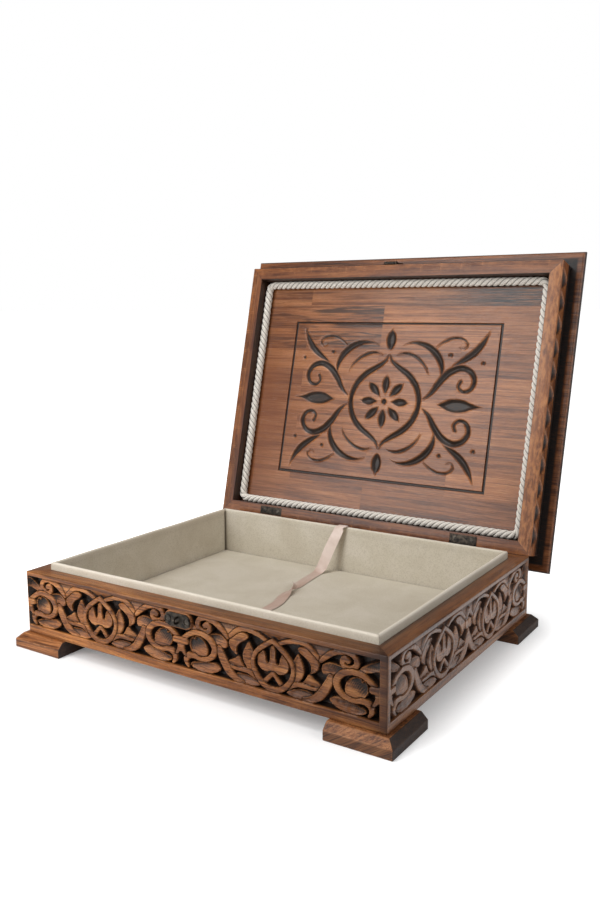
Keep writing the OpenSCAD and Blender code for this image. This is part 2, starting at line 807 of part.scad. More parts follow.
// Rope glued into the corner between the inner panel and the lid rails
module rope_trim() {
    r = rope_d / 2;
    half_w = lid_in_w / 2 - r - rope_play;
    half_d = lid_in_d / 2 - r - rope_play;
    color(cream_cord) opened() translate([0, 0, panel_z - r - rope_play]) {
        for (side = [-1, 1]) {
            translate([rope_bend - half_w, side * half_d, 0]) rotate([0, 90, 0])
                cylinder(r = r, h = 2 * (half_w - rope_bend));
            translate([side * half_w, half_d - rope_bend, 0]) rotate([90, 0, 0])
                cylinder(r = r, h = 2 * (half_d - rope_bend));
        }
        for (sx = [-1, 1], sy = [-1, 1])
            translate([sx * (half_w - rope_bend), sy * (half_d - rope_bend), 0]) scale_to(sx, sy)
                rotate_extrude(angle = 90) translate([rope_bend, 0]) circle(r);
    }
}

// Latch, each piece in a frame with Y up the front of the box and Z out of it

module on_front(z) {
    translate([latch_x, -box_d / 2, z]) rotate([90, 0, 0]) children();
}

module staple_screw_spots() {
    on_front(rim_z - staple_down) for (sign = [-1, 1])
        translate([sign * latch_screw_x, 0, latch_plate_t]) children();
}

// The plate on the lid stands on the line of the hasp pin
latch_plate_up = latch_plate_h / 2 - hasp_barrel_r / 2;

module latch_screw_spots() {
    on_front(hasp_z) for (sign = [-1, 1])
        translate([sign * latch_screw_x, latch_plate_up, latch_plate_t]) children();
}

// A plate with round ends
module latch_plate_flat() {
    end_x = (latch_plate_w - latch_plate_h) / 2;
    linear_extrude(latch_plate_t) {
        square([2 * end_x, latch_plate_h], center = true);
        for (sign = [-1, 1])
            translate([sign * end_x, 0]) circle(latch_plate_h / 2);
    }
}

// Side view of the staple: a half ring on two straight legs
module staple_outline(r) {
    intersection() {
        union() {
            translate([0, staple_out - staple_r]) circle(r);
            translate([-r, 0]) square([2 * r, staple_out - staple_r]);
        }
        translate([-r, 0]) square([2 * r, staple_out]);
    }
}

module staple_plate() {
    color(antique_metal) standing() {
        difference() {
            on_front(rim_z - staple_down) {
                latch_plate_flat();
                rotate([90, 0, 90]) translate([0, 0, -ring_t / 2]) linear_extrude(ring_t) difference() {
                    staple_outline(staple_r);
                    staple_outline(staple_r - ring_t);
                }
            }
            staple_screw_spots() screw_hole(small_screw_r, small_screw_len);
        }
    }
}

module staple_screws() {
    color(antique_metal) standing() staple_screw_spots() screw(small_screw_r, small_screw_len);
}

// Space for the hasp's own knuckle, between the two knuckles of the plate
hasp_room = hasp_w + 2 * knuckle_gap;
plate_knuckle_w = (latch_plate_w - latch_plate_h - hasp_room) / 2;

module latch_plate() {
    notch_h = hasp_barrel_r + knuckle_gap;
    color(antique_metal) opened() difference() {
        on_front(hasp_z) difference() {
            union() {
                translate([0, latch_plate_up, 0]) latch_plate_flat();
                for (side = [-1, 1])
                    translate([0, 0, hasp_pin_off])
                        along_pin(hasp_barrel_r, plate_knuckle_w, side * (hasp_room + plate_knuckle_w) / 2);
            }
            translate([-hasp_room / 2, -notch_h, -over]) cube([hasp_room, 2 * notch_h, hasp_pin_off + over]);
            translate([0, 0, hasp_pin_off]) along_pin(hasp_pin_r + pin_fit, latch_plate_w);
        }
        latch_screw_spots() screw_hole(small_screw_r, small_screw_len);
    }
}

module latch_pin() {
    color(antique_metal) opened() on_front(hasp_z) translate([0, 0, hasp_pin_off])
        along_pin(hasp_pin_r, hasp_room + 2 * plate_knuckle_w);
}

module latch_screws() {
    color(antique_metal) opened() latch_screw_spots() screw(small_screw_r, small_screw_len);
}

// The hasp about its pin, pointing down as when the box is latched
module hasp_down() {
    difference() {
        union() {
            along_pin(hasp_barrel_r, hasp_w);
            translate([-hasp_w / 2, -hasp_len, -hasp_t / 2]) cube([hasp_w, hasp_len, hasp_t]);
            translate([0, -ring_reach + ring_t / 2, ring_r]) rotate([90, 0, 0]) difference() {
                cylinder(r = ring_r, h = ring_t);
                translate([0, 0, -over]) cylinder(r = ring_r - ring_t, h = ring_t + 2 * over);
            }
        }
        along_pin(hasp_pin_r + pin_fit, hasp_w + 2 * over);
        translate([-ring_t / 2 - slot_play, -slot_end, -hasp_t])
            cube([ring_t + 2 * slot_play, 2 * (staple_r + slot_play), 2 * hasp_t]);
    }
}

module latch_hasp() {
    color(antique_metal) opened() on_front(hasp_z) translate([0, 0, hasp_pin_off])
        rotate([-hasp_fold, 0, 0]) hasp_down();
}

front_wall();
back_wall();
left_wall();
right_wall();
bottom_board();
foot_front_left();
foot_front_right();
foot_back_left();
foot_back_right();
foot_screws();
tray_floor();
tray_front();
tray_back();
tray_left();
tray_right();
lift_ribbon();
left_hinge_base_leaf();
right_hinge_base_leaf();
left_hinge_pin();
right_hinge_pin();
base_hinge_screws();
staple_plate();
staple_screws();
lid_front_rail();
lid_back_rail();
lid_left_rail();
lid_right_rail();
lid_top_board();
lid_inner_panel();
rope_trim();
left_hinge_lid_leaf();
right_hinge_lid_leaf();
lid_hinge_screws();
latch_plate();
latch_pin();
latch_screws();
latch_hasp();
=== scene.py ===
# %% [markdown]
# # A carved book box, dressed in Blender
# The box is a low carved case on four block feet. A lined tray stands up inside it, and a panelled lid leans
# open behind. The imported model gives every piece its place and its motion.
# This lesson puts carving, cloth, rope and finishes around it.

# %% Load the frame
import math

import bmesh
import bpy
import numpy as np
from mathutils import Matrix, Vector


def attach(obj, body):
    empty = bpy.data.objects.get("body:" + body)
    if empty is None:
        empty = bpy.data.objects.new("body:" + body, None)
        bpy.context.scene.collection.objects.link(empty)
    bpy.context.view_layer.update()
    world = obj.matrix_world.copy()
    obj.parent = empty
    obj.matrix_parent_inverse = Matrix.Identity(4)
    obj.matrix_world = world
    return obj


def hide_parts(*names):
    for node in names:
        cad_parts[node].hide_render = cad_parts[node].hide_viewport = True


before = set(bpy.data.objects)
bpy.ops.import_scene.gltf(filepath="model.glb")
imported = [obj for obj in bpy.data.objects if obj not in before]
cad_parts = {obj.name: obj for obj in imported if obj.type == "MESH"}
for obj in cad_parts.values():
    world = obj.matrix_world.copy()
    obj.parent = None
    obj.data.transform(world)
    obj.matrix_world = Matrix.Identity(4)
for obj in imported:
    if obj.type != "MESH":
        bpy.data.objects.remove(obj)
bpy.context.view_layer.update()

# %% [markdown]
# ## Two frames to work in
# A maker thinks in millimetres, and thinks of the lid as it lies shut. Blender works in metres, and the
# lid here stands open. Two matrices take care of both: one for pieces of the box, and one for pieces of
# the lid, drawn shut and then swung open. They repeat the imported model's own placing, so nothing is fitted
# by eye.

# %% Frames
MM = 0.001
BOX_W, BOX_D = 340.0, 265.0
FOOT_H, RIM_Z = 12.0, 65.0
LID_ANGLE = math.radians(104)
STAND_Y = 45.298724
hinge_line = Vector((0, BOX_D / 2, RIM_Z))
box_frame = Matrix.Scale(MM, 4) @ Matrix.Translation((0, -STAND_Y, 0))
swing = Matrix.Translation(hinge_line) @ Matrix.Rotation(-LID_ANGLE, 4, "X") @ Matrix.Translation(-hinge_line)
lid_frame = box_frame @ swing
# A piece's home: the frame that it is drawn in and the body that it rides on
BOX, LID = (box_frame, "base"), (lid_frame, "lid")
print("lid top edge at", [round(c, 4) for c in lid_frame @ Vector((0, -BOX_D / 2, RIM_Z))])

# %% [markdown]
# ## Camera
# The view is from the right and a little above, close enough for the near corner to loom. The camera could
# be turned by hand until it fits. Its place was measured from the box's own corners instead, so it is
# written out.

# %% Camera
CAMERA_AT = Vector((413.61, -604.75, 284.25))
YAW, PITCH, ROLL = (math.radians(a) for a in (33.221, 9.372, -0.269))
LENS, SENSOR_W = 35.487, 36.0
ahead = Vector((-math.sin(YAW) * math.cos(PITCH), math.cos(YAW) * math.cos(PITCH), -math.sin(PITCH)))
level = Vector((math.cos(YAW), math.sin(YAW), 0))
above = level.cross(ahead)
cam_right = math.cos(ROLL) * level + math.sin(ROLL) * above
cam_up = -math.sin(ROLL) * level + math.cos(ROLL) * above
facing = Matrix((cam_right, cam_up, -ahead)).transposed()
camera = bpy.data.objects.new("camera", bpy.data.cameras.new("camera"))
camera.matrix_world = Matrix.Translation(box_frame @ CAMERA_AT) @ facing.to_4x4()
camera.data.lens, camera.data.sensor_width = LENS, SENSOR_W
bpy.context.scene.collection.objects.link(camera)
bpy.context.scene.camera = camera
bpy.context.scene.view_settings.view_transform = "Standard"
print("camera at", [round(c, 3) for c in camera.location])

# %% [markdown]
# ## A helper for node materials
# Every finish below is a small net of shader nodes. Written in full, each node takes four lines.
# This helper makes a node, sets its values, and joins any socket it is handed, so that a finish reads like
# a recipe.

# %% Node helper
def srgb(*rgb):
    """A colour as a painter picks it, 0 to 255, as the linear colour that a shader wants."""
    return tuple((c / 255 / 12.92) if c <= 10 else ((c / 255 + 0.055) / 1.055) ** 2.4 for c in rgb) + (1.0,)


class Recipe:
    """A material's node tree, with the shader ready and an add() for the rest."""

    def __init__(self, name):
        self.material = bpy.data.materials.new(name)
        self.material.use_nodes = True
        self.tree = self.material.node_tree
        self.shader = self.tree.nodes["Principled BSDF"]

    def give(self, target, key, value):
        socket = target.inputs[key]
        if isinstance(value, bpy.types.NodeSocket):
            self.tree.links.new(value, socket)
        else:
            socket.default_value = value

    def add(self, kind, out=0, props=(), **inputs):
        """Makes a node. An input is named in words, or by its place as i0, i1 and so on."""
        made = self.tree.nodes.new("ShaderNode" + kind)
        for key, value in dict(props).items():
            setattr(made, key, value)
        for key, value in inputs.items():
            by_place = key[0] == "i" and key[1:].isdigit()
            self.give(made, int(key[1:]) if by_place else key.replace("_", " "), value)
        return made.outputs[out]

    def finish(self, **inputs):
        for key, value in inputs.items():
            self.give(self.shader, key.replace("_", " "), value)
        return self.material

    def field(self, name, vector=False):
        """A value that was stored on the mesh's points."""
        return self.add("Attribute", 1 if vector else 2, {"attribute_name": name})

    def place(self, source, scale, shift=(0, 0, 0), turn=(0, 0, 0)):
        return self.add("Mapping", Vector=source, Scale=scale, Location=shift, Rotation=turn)

    def noise(self, at, scale, detail, rough, twist=0.0, turn=(0, 0, 0)):
        """Cloudy noise, its scale given for each direction."""
        placed = self.place(at, scale, turn=turn)
        return self.add("TexNoise", Vector=placed, Scale=1.0, Detail=detail, Roughness=rough,
                        Distortion=twist)

    def ramp(self, fac, stops):
        made = self.tree.nodes.new("ShaderNodeValToRGB")
        while len(made.color_ramp.elements) < len(stops):
            made.color_ramp.elements.new(0.5)
        for element, (at, colour) in zip(made.color_ramp.elements, stops):
            element.position, element.color = at, colour
        self.tree.links.new(fac, made.inputs[0])
        return made.outputs[0]

    def mix(self, fac, a, b, how="MIX"):
        return self.add("Mix", 2, {"data_type": "RGBA", "blend_type": how}, i0=fac, i6=a, i7=b)

    def math(self, how, a, b):
        return self.add("Math", props={"operation": how}, i0=a, i1=b)

    def vector(self, how, a, b=(0, 0, 0), out=0, **more):
        return self.add("VectorMath", out, {"operation": how}, i0=a, i1=b, **more)

    def spread(self, value, low, high, to_low=0.0, to_high=1.0):
        """Stretches a part of a value's range over another range, smoothly."""
        smooth = {"interpolation_type": "SMOOTHSTEP"}
        return self.add("MapRange", props=smooth, i0=value, i1=low, i2=high, i3=to_low, i4=to_high)

    def bump(self, height, strength, depth):
        return self.add("Bump", Height=height, Strength=strength, Distance=depth)


print("nodes can be written in one line each")

# %% [markdown]
# ## Floor and light
# The box stands on white, with a soft shadow close about its feet. A white floor and a white world give
# that ground. To the eye the floor glows to pure white a hand's breadth away from the box. Close to the
# box it is plain paper that takes the lamps' shadow, and its glow drops there, which paints a soft grey
# shadow round the box as well. A low lamp and a panel lamp stand in front on the left, where the polished
# panel mirrors them. A high lamp rakes over the carving, and one on the right fills the side wall.

# %% Floor and world
WHITE, PAPER = (1, 1, 1, 1), (0.84, 0.84, 0.84, 1)
# Right by the box the floor's glow is low, which paints a soft grey shadow there; it rises to 1 over the
# shadow's reach.
WORLD_LIGHT, PAINTED_SHADOW_GLOW, FLOOR_SHEEN = 0.19, 0.18, 0.55
FLOOR_HALF, SHADOW_REACH = 30.0, 0.095
# The painted shadow is centred a little to the front left of the box's base.
PAINTED_SHADOW_MIDDLE, BASE_HALF = (-0.015, -STAND_Y * MM - 0.015, 0.0), (0.165, 0.130, 0.0)
GLOSSY_RAY = 3
CORNERS = ((-1, -1), (1, -1), (1, 1), (-1, 1))

world = bpy.data.worlds.new("white_room")
world.use_nodes = True
bpy.context.scene.world = world
sky = world.node_tree.nodes["Background"]
sky.inputs[0].default_value = WHITE
eye = world.node_tree.nodes.new("ShaderNodeLightPath")
span = world.node_tree.nodes.new("ShaderNodeMapRange")
span.inputs["To Min"].default_value = WORLD_LIGHT
world.node_tree.links.new(eye.outputs["Is Camera Ray"], span.inputs["Value"])
world.node_tree.links.new(span.outputs[0], sky.inputs[1])

floor_mesh = bpy.data.meshes.new("floor")
floor_corners = [(x * FLOOR_HALF, y * FLOOR_HALF, 0) for x, y in CORNERS]
floor_mesh.from_pydata(floor_corners, [], [(0, 1, 2, 3)])
floor = bpy.data.objects.new("floor", floor_mesh)
bpy.context.scene.collection.objects.link(floor)
paper = Recipe("white_paper")
away = paper.vector("ABSOLUTE", paper.vector("SUBTRACT", paper.add("NewGeometry"), PAINTED_SHADOW_MIDDLE))
away = paper.vector("MAXIMUM", paper.vector("SUBTRACT", away, BASE_HALF))
away = paper.vector("LENGTH", away, out=1)
glow = paper.spread(away, 0.0, SHADOW_REACH, PAINTED_SHADOW_GLOW, 1.0)
mirrored = paper.math("MULTIPLY", paper.add("LightPath", GLOSSY_RAY), FLOOR_SHEEN)
seen = paper.math("ADD", paper.add("LightPath"), mirrored)
paper.finish(Base_Color=PAPER, Roughness=0.9, Specular_IOR_Level=0.0, Emission_Color=WHITE,
             Emission_Strength=paper.math("MULTIPLY", seen, glow))
floor_mesh.materials.append(paper.material)
print("floor of", 2 * FLOOR_HALF, "m in a white world")

# %% Lamps
LAMP_AIM = Vector((0, 0, 0.12))
# Place, width in metres and power in watts
LAMPS = {
    "low_lamp": ((-0.47, -0.85, 0.18), 0.56, 3.5),
    "panel_lamp": ((-0.30, -0.76, 0.68), 0.52, 3.8),
    "high_lamp": ((-0.20, -0.32, 1.40), 0.80, 8.6),
    "right_lamp": ((1.20, -0.15, 0.70), 0.80, 4.4),
}
for name, (at, size, watts) in LAMPS.items():
    light = bpy.data.lights.new(name, "AREA")
    light.shape, light.size, light.energy = "DISK", size, watts
    lamp = bpy.data.objects.new(name, light)
    lamp.location = at
    lamp.rotation_euler = (LAMP_AIM - Vector(at)).to_track_quat("-Z", "Y").to_euler()
    bpy.context.scene.collection.objects.link(lamp)
print("lit by", len(LAMPS), "lamps")

# %% [markdown]
# ## Wood
# Walls, rails, panel, board and feet are the same reddish wood under an old brown varnish. Its grain is
# long along a board and tight across it. A stretched noise gives that: broad bands for the colour, fine
# fibres and long dark lines for the grain, and all again in the bump. Wide pieces are glued up from
# staves, each with its own cut of grain, so a brick pattern hands every stave its own tint and shift.
# Values stored on the mesh do the rest. "grain" says how the board was cut. "depth" paints shade into what
# lies low and onto shaded sides, along with a dark stain. "wear" lightens the edges that hands have rubbed,
# and on a few edges paints a highlight, and one more value paints shade and browning along a wall.

# %% Wood material
STAVE_SHIFT = (613.0, 217.0, 59.0)


def glued_staves(r, grain, length, height, start):
    """Each stave's own number, the seams between staves, and the grain shifted from stave to stave."""
    laid = {"Vector": r.place(grain, (1, 1, 1), start), "Scale": 1.0, "Brick_Width": length,
            "Row_Height": height, "Mortar_Size": 0.10, "Mortar_Smooth": 0.2, "Color1": (0, 0, 0, 1),
            "Color2": WHITE, "Mortar": (0.5, 0.5, 0.5, 1)}
    stave = r.add("TexBrick", **laid)
    seam = r.add("TexBrick", 1, **laid)
    return stave, seam, r.vector("MULTIPLY_ADD", stave, STAVE_SHIFT, i2=grain)


def wood(name, dark, mid, light, low, worn, staves=None, bands=0.011, rough=0.32, coat=0.25, marks=None,
         recess=(0.14, 0.72), aged=None, streaks=0.75, shine=0.5):
    r = Recipe(name)
    grain = r.field("grain", vector=True)
    if staves:
        stave, seam, grain = glued_staves(r, grain, *staves)
    broad = r.noise(grain, (bands, 0.13, 0.13), 5.0, 0.6, 0.9)
    fibre = r.noise(grain, (0.035, 1.2, 1.2), 6.0, 0.68, 0.3)
    lines = r.noise(grain, (0.010, 0.62, 0.62), 4.0, 0.6, 0.6)
    pores = r.noise(grain, (0.16, 3.6, 3.6), 2.0, 0.5)
    cloud = r.noise(grain, (0.014, 0.02, 0.02), 3.0, 0.5)
    scuff = r.noise(grain, (0.12, 0.3, 0.3), 3.0, 0.6)
    tone = r.math("ADD", r.math("MULTIPLY", broad, 0.55), r.math("MULTIPLY", fibre, 0.45))
    colour = r.ramp(tone, [(0.38, dark), (0.50, mid), (0.60, light)])
    colour = r.mix(r.spread(lines, 0.51, 0.63, 0.0, streaks), colour, dark)
    colour = r.mix(r.spread(pores, 0.50, 0.30, 0.0, 0.5), colour, dark)
    colour = r.mix(r.spread(cloud, 0.44, 0.70, 0.0, 0.35), colour, dark)
    if staves:
        tint = r.ramp(stave, [(0.0, (0.66, 0.60, 0.58, 1)), (0.5, (0.92, 0.91, 0.90, 1)), (1.0, WHITE)])
        colour = r.mix(0.75, colour, tint, "MULTIPLY")
        colour = r.mix(r.math("MULTIPLY", seam, 0.45), colour, dark)
    if marks:
        colour = marks(r, grain, colour)
    rub = r.math("MULTIPLY", r.field("wear"), r.spread(scuff, 0.36, 0.66, 0.05, 0.75))
    colour = r.mix(rub, colour, worn)
    # Painted shade where the light falls off along a wall, and browning.
    if aged:
        colour = r.mix(r.field("aged"), colour, aged)
    # Painted shade, with a dark stain, takes what the depth value marks to the low colour.
    hollow = r.spread(r.field("depth"), *recess)
    colour = r.mix(hollow, colour, r.mix(r.spread(pores, 0.52, 0.72, 0.0, 0.22), low, mid))
    gloss = r.math("ADD", r.math("MULTIPLY", fibre, 0.20), r.math("MULTIPLY", hollow, 0.25))
    gloss = r.math("ADD", gloss, rough - 0.10)
    height = r.math("ADD", r.math("ADD", fibre, r.math("MULTIPLY", pores, 0.6)), lines)
    return r.finish(Base_Color=colour, Roughness=gloss, Normal=r.bump(height, 0.30, 0.0005),
                    Specular_IOR_Level=shine, Coat_Weight=coat, Coat_Roughness=0.16)


def panel_marks(r, grain, colour):
    """Smoke, a flame in the grain and a painted warm glow on one side, where the panel's own values ask for
    them.
    """
    waves = r.noise(grain, (0.016, 0.30, 0.30), 2.0, 0.5, 0.9, turn=(0.0, 0.0, 0.05))
    flame = r.math("MULTIPLY", r.field("figure"), r.spread(waves, 0.44, 0.60))
    colour = r.mix(flame, colour, srgb(42, 23, 14))
    streak = r.noise(grain, (0.02, 0.55, 0.55), 4.0, 0.6)
    smoke = r.math("MULTIPLY", r.field("stain"), r.spread(streak, 0.36, 0.60, 0.45, 1.0))
    colour = r.mix(smoke, colour, srgb(34, 32, 34))
    # A painted warm glow on the left of the panel.
    return r.mix(r.field("glow"), colour, srgb(110, 60, 28))


print("wood can be mixed")

# %% Cuts of the wood
# Five colours each: dark grain, middle, light grain, the painted shade and stain of what lies low, and what
# is worn
CARVED = (srgb(66, 33, 14), srgb(158, 96, 49), srgb(198, 133, 75), srgb(14, 9, 7), srgb(196, 134, 78))
# The side walls' low colour is a warmer brown: painted light reflected into their hollows.
CARVED_SIDE_LIT_HOLLOWS = CARVED[:3] + (srgb(46, 23, 11), CARVED[4])
RAIL = (srgb(70, 33, 15), srgb(150, 87, 42), srgb(178, 113, 62), srgb(30, 18, 12), srgb(184, 122, 72))
PANEL = (srgb(86, 46, 24), srgb(160, 100, 58), srgb(180, 121, 76), srgb(26, 16, 10), srgb(180, 126, 88))
BOARD = (srgb(54, 27, 13), srgb(128, 74, 39), srgb(154, 97, 57), srgb(14, 11, 10), srgb(130, 100, 78))
BLOCK = (srgb(62, 31, 14), srgb(148, 91, 49), srgb(182, 122, 74), srgb(42, 41, 41), srgb(182, 128, 84))
# The brown that walls are painted towards, as shade and browning.
SHADING_BROWN, WALL_RECESS = srgb(44, 22, 12), (0.10, 0.50)
# Length of a stave, its height, and where the first one starts
RAIL_STAVES, PANEL_STAVES = (132.0, 900.0, (-20.0, 0.0, 0.0)), (176.0, 23.0, (80.0, 94.5, 0.0))

carved_wood = wood("carved_wood", *CARVED, aged=SHADING_BROWN, recess=WALL_RECESS, coat=0.05, shine=0.22)
# The side walls' wood, with painted reflected light in its hollows.
side_wood_lit_hollows = wood("side_wood_lit_hollows", *CARVED_SIDE_LIT_HOLLOWS, aged=SHADING_BROWN, recess=WALL_RECESS)
rail_wood = wood("rail_wood", *RAIL, staves=RAIL_STAVES, rough=0.36, coat=0.15, shine=0.4)
panel_wood = wood("panel_wood", *PANEL, staves=PANEL_STAVES, bands=0.006, rough=0.25, marks=panel_marks,
                  recess=(0.03, 0.30), streaks=0.6, coat=0.14, shine=0.38)
board_wood = wood("board_wood", *BOARD, coat=0.15, shine=0.35)
foot_wood = wood("foot_wood", *BLOCK, rough=0.42, coat=0.05, shine=0.25)
print("six cuts of one wood")

# %% [markdown]
# ## Putting a mesh into the scene
# Each piece below is worked out as points and faces in millimetres. One helper moves them into the right
# frame, stores the values that the materials read, rides the piece on its body and hides the plain solid
# that it stands for.

# %% Mesh helper
def make_piece(name, points, faces, home, material, fields=None, stands_for=None, sharp=40):
    to_row, body = home
    place = np.array(to_row)
    mesh = bpy.data.meshes.new(name)
    placed = points @ place[:3, :3].T + place[:3, 3]
    mesh.from_pydata(placed.tolist(), [], [list(map(int, f)) for f in faces])
    for key, values in (fields or {}).items():
        values = np.asarray(values, np.float32)
        kind, what = ("FLOAT_VECTOR", "vector") if values.ndim == 2 else ("FLOAT", "value")
        mesh.attributes.new(key, kind, "POINT").data.foreach_set(what, values.ravel())
    work = bmesh.new()
    work.from_mesh(mesh)
    bmesh.ops.recalc_face_normals(work, faces=work.faces)
    work.to_mesh(mesh)
    work.free()
    mesh.shade_smooth()
    mesh.set_sharp_from_angle(angle=math.radians(sharp))
    mesh.materials.append(material)
    made = bpy.data.objects.new(name, mesh)
    bpy.context.scene.collection.objects.link(made)
    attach(made, body)
    if stands_for:
        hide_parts(stands_for)
    return made


print("pieces can be made")

# %% Grids and unevenness
def grid_faces(rows, cols):
    at = np.arange(rows * cols).reshape(rows, cols)
    return np.stack([at[:-1, :-1], at[:-1, 1:], at[1:, 1:], at[1:, :-1]], -1).reshape(-1, 4).tolist()


def ring_faces(rows, cols, start):
    """Faces of a grid that closes on itself both ways."""
    at = start + np.arange(rows * cols).reshape(rows, cols)
    far = np.roll(at, -1, 0)
    return np.stack([at, far, np.roll(far, -1, 1), np.roll(at, -1, 1)], -1).reshape(-1, 4).tolist()


def slab(X, Y, Z, back_z):
    """Points and faces of a slab: a grid in front, a flat back, and the number of points in the back."""
    rows, cols = X.shape
    face = np.c_[X.ravel(), Y.ravel(), Z.ravel()]
    at = np.arange(rows * cols).reshape(rows, cols)
    rim = np.r_[at[:, 0], at[-1, 1:], at[-2::-1, -1], at[0, -2:0:-1]]
    back = face[rim].copy()
    back[:, 2] = back_z
    behind = rows * cols + np.arange(len(rim))
    edges = np.c_[rim, np.roll(rim, -1), np.roll(behind, -1), behind].tolist()
    return np.vstack([face, back]), grid_faces(rows, cols) + edges + [behind.tolist()], len(rim)


def unit(vectors):
    return vectors / np.linalg.norm(vectors, axis=1)[:, None]


def run_along(points):
    """Each point's distance along a path."""
    return np.r_[0, np.cumsum(np.linalg.norm(np.diff(points, axis=0), axis=1))]


def ripple(a, b, size, seed):
    """A gentle unevenness from -1 to 1, as a hand leaves it, the same on every run."""
    draw = np.random.default_rng(seed)
    total = 0.0
    for _ in range(7):
        angle, phase, stretch = draw.uniform(0, 2 * np.pi), draw.uniform(0, 2 * np.pi), draw.uniform(0.6, 1.8)
        total = total + np.sin((a * np.cos(angle) + b * np.sin(angle)) * 2 * np.pi / (size * stretch) + phase)
    return total / 4.0


print("mesh helpers ready")

# %% [markdown]
# ## The carver's drawing
# Oval medallions with a split leaf inside stand along each wall, tied together by open scrolls. One half
# of a medallion and its tie holds the whole design; the carver flips it along the wall. So does this
# lesson. A leaf is given by points round its edge, and a stroke by points along its middle, each with a
# half width. A point's first number runs from the medallion's middle to the tie, its second up from the
# wall's lower edge.

# %% Strokes and leaves
HALF_UNIT, WALL_H = 83.0, 53.0
RAIL_LOW, RAIL_TOP = 7.0, 49.2
UP, DOWN = (0, 1), (0, -1)
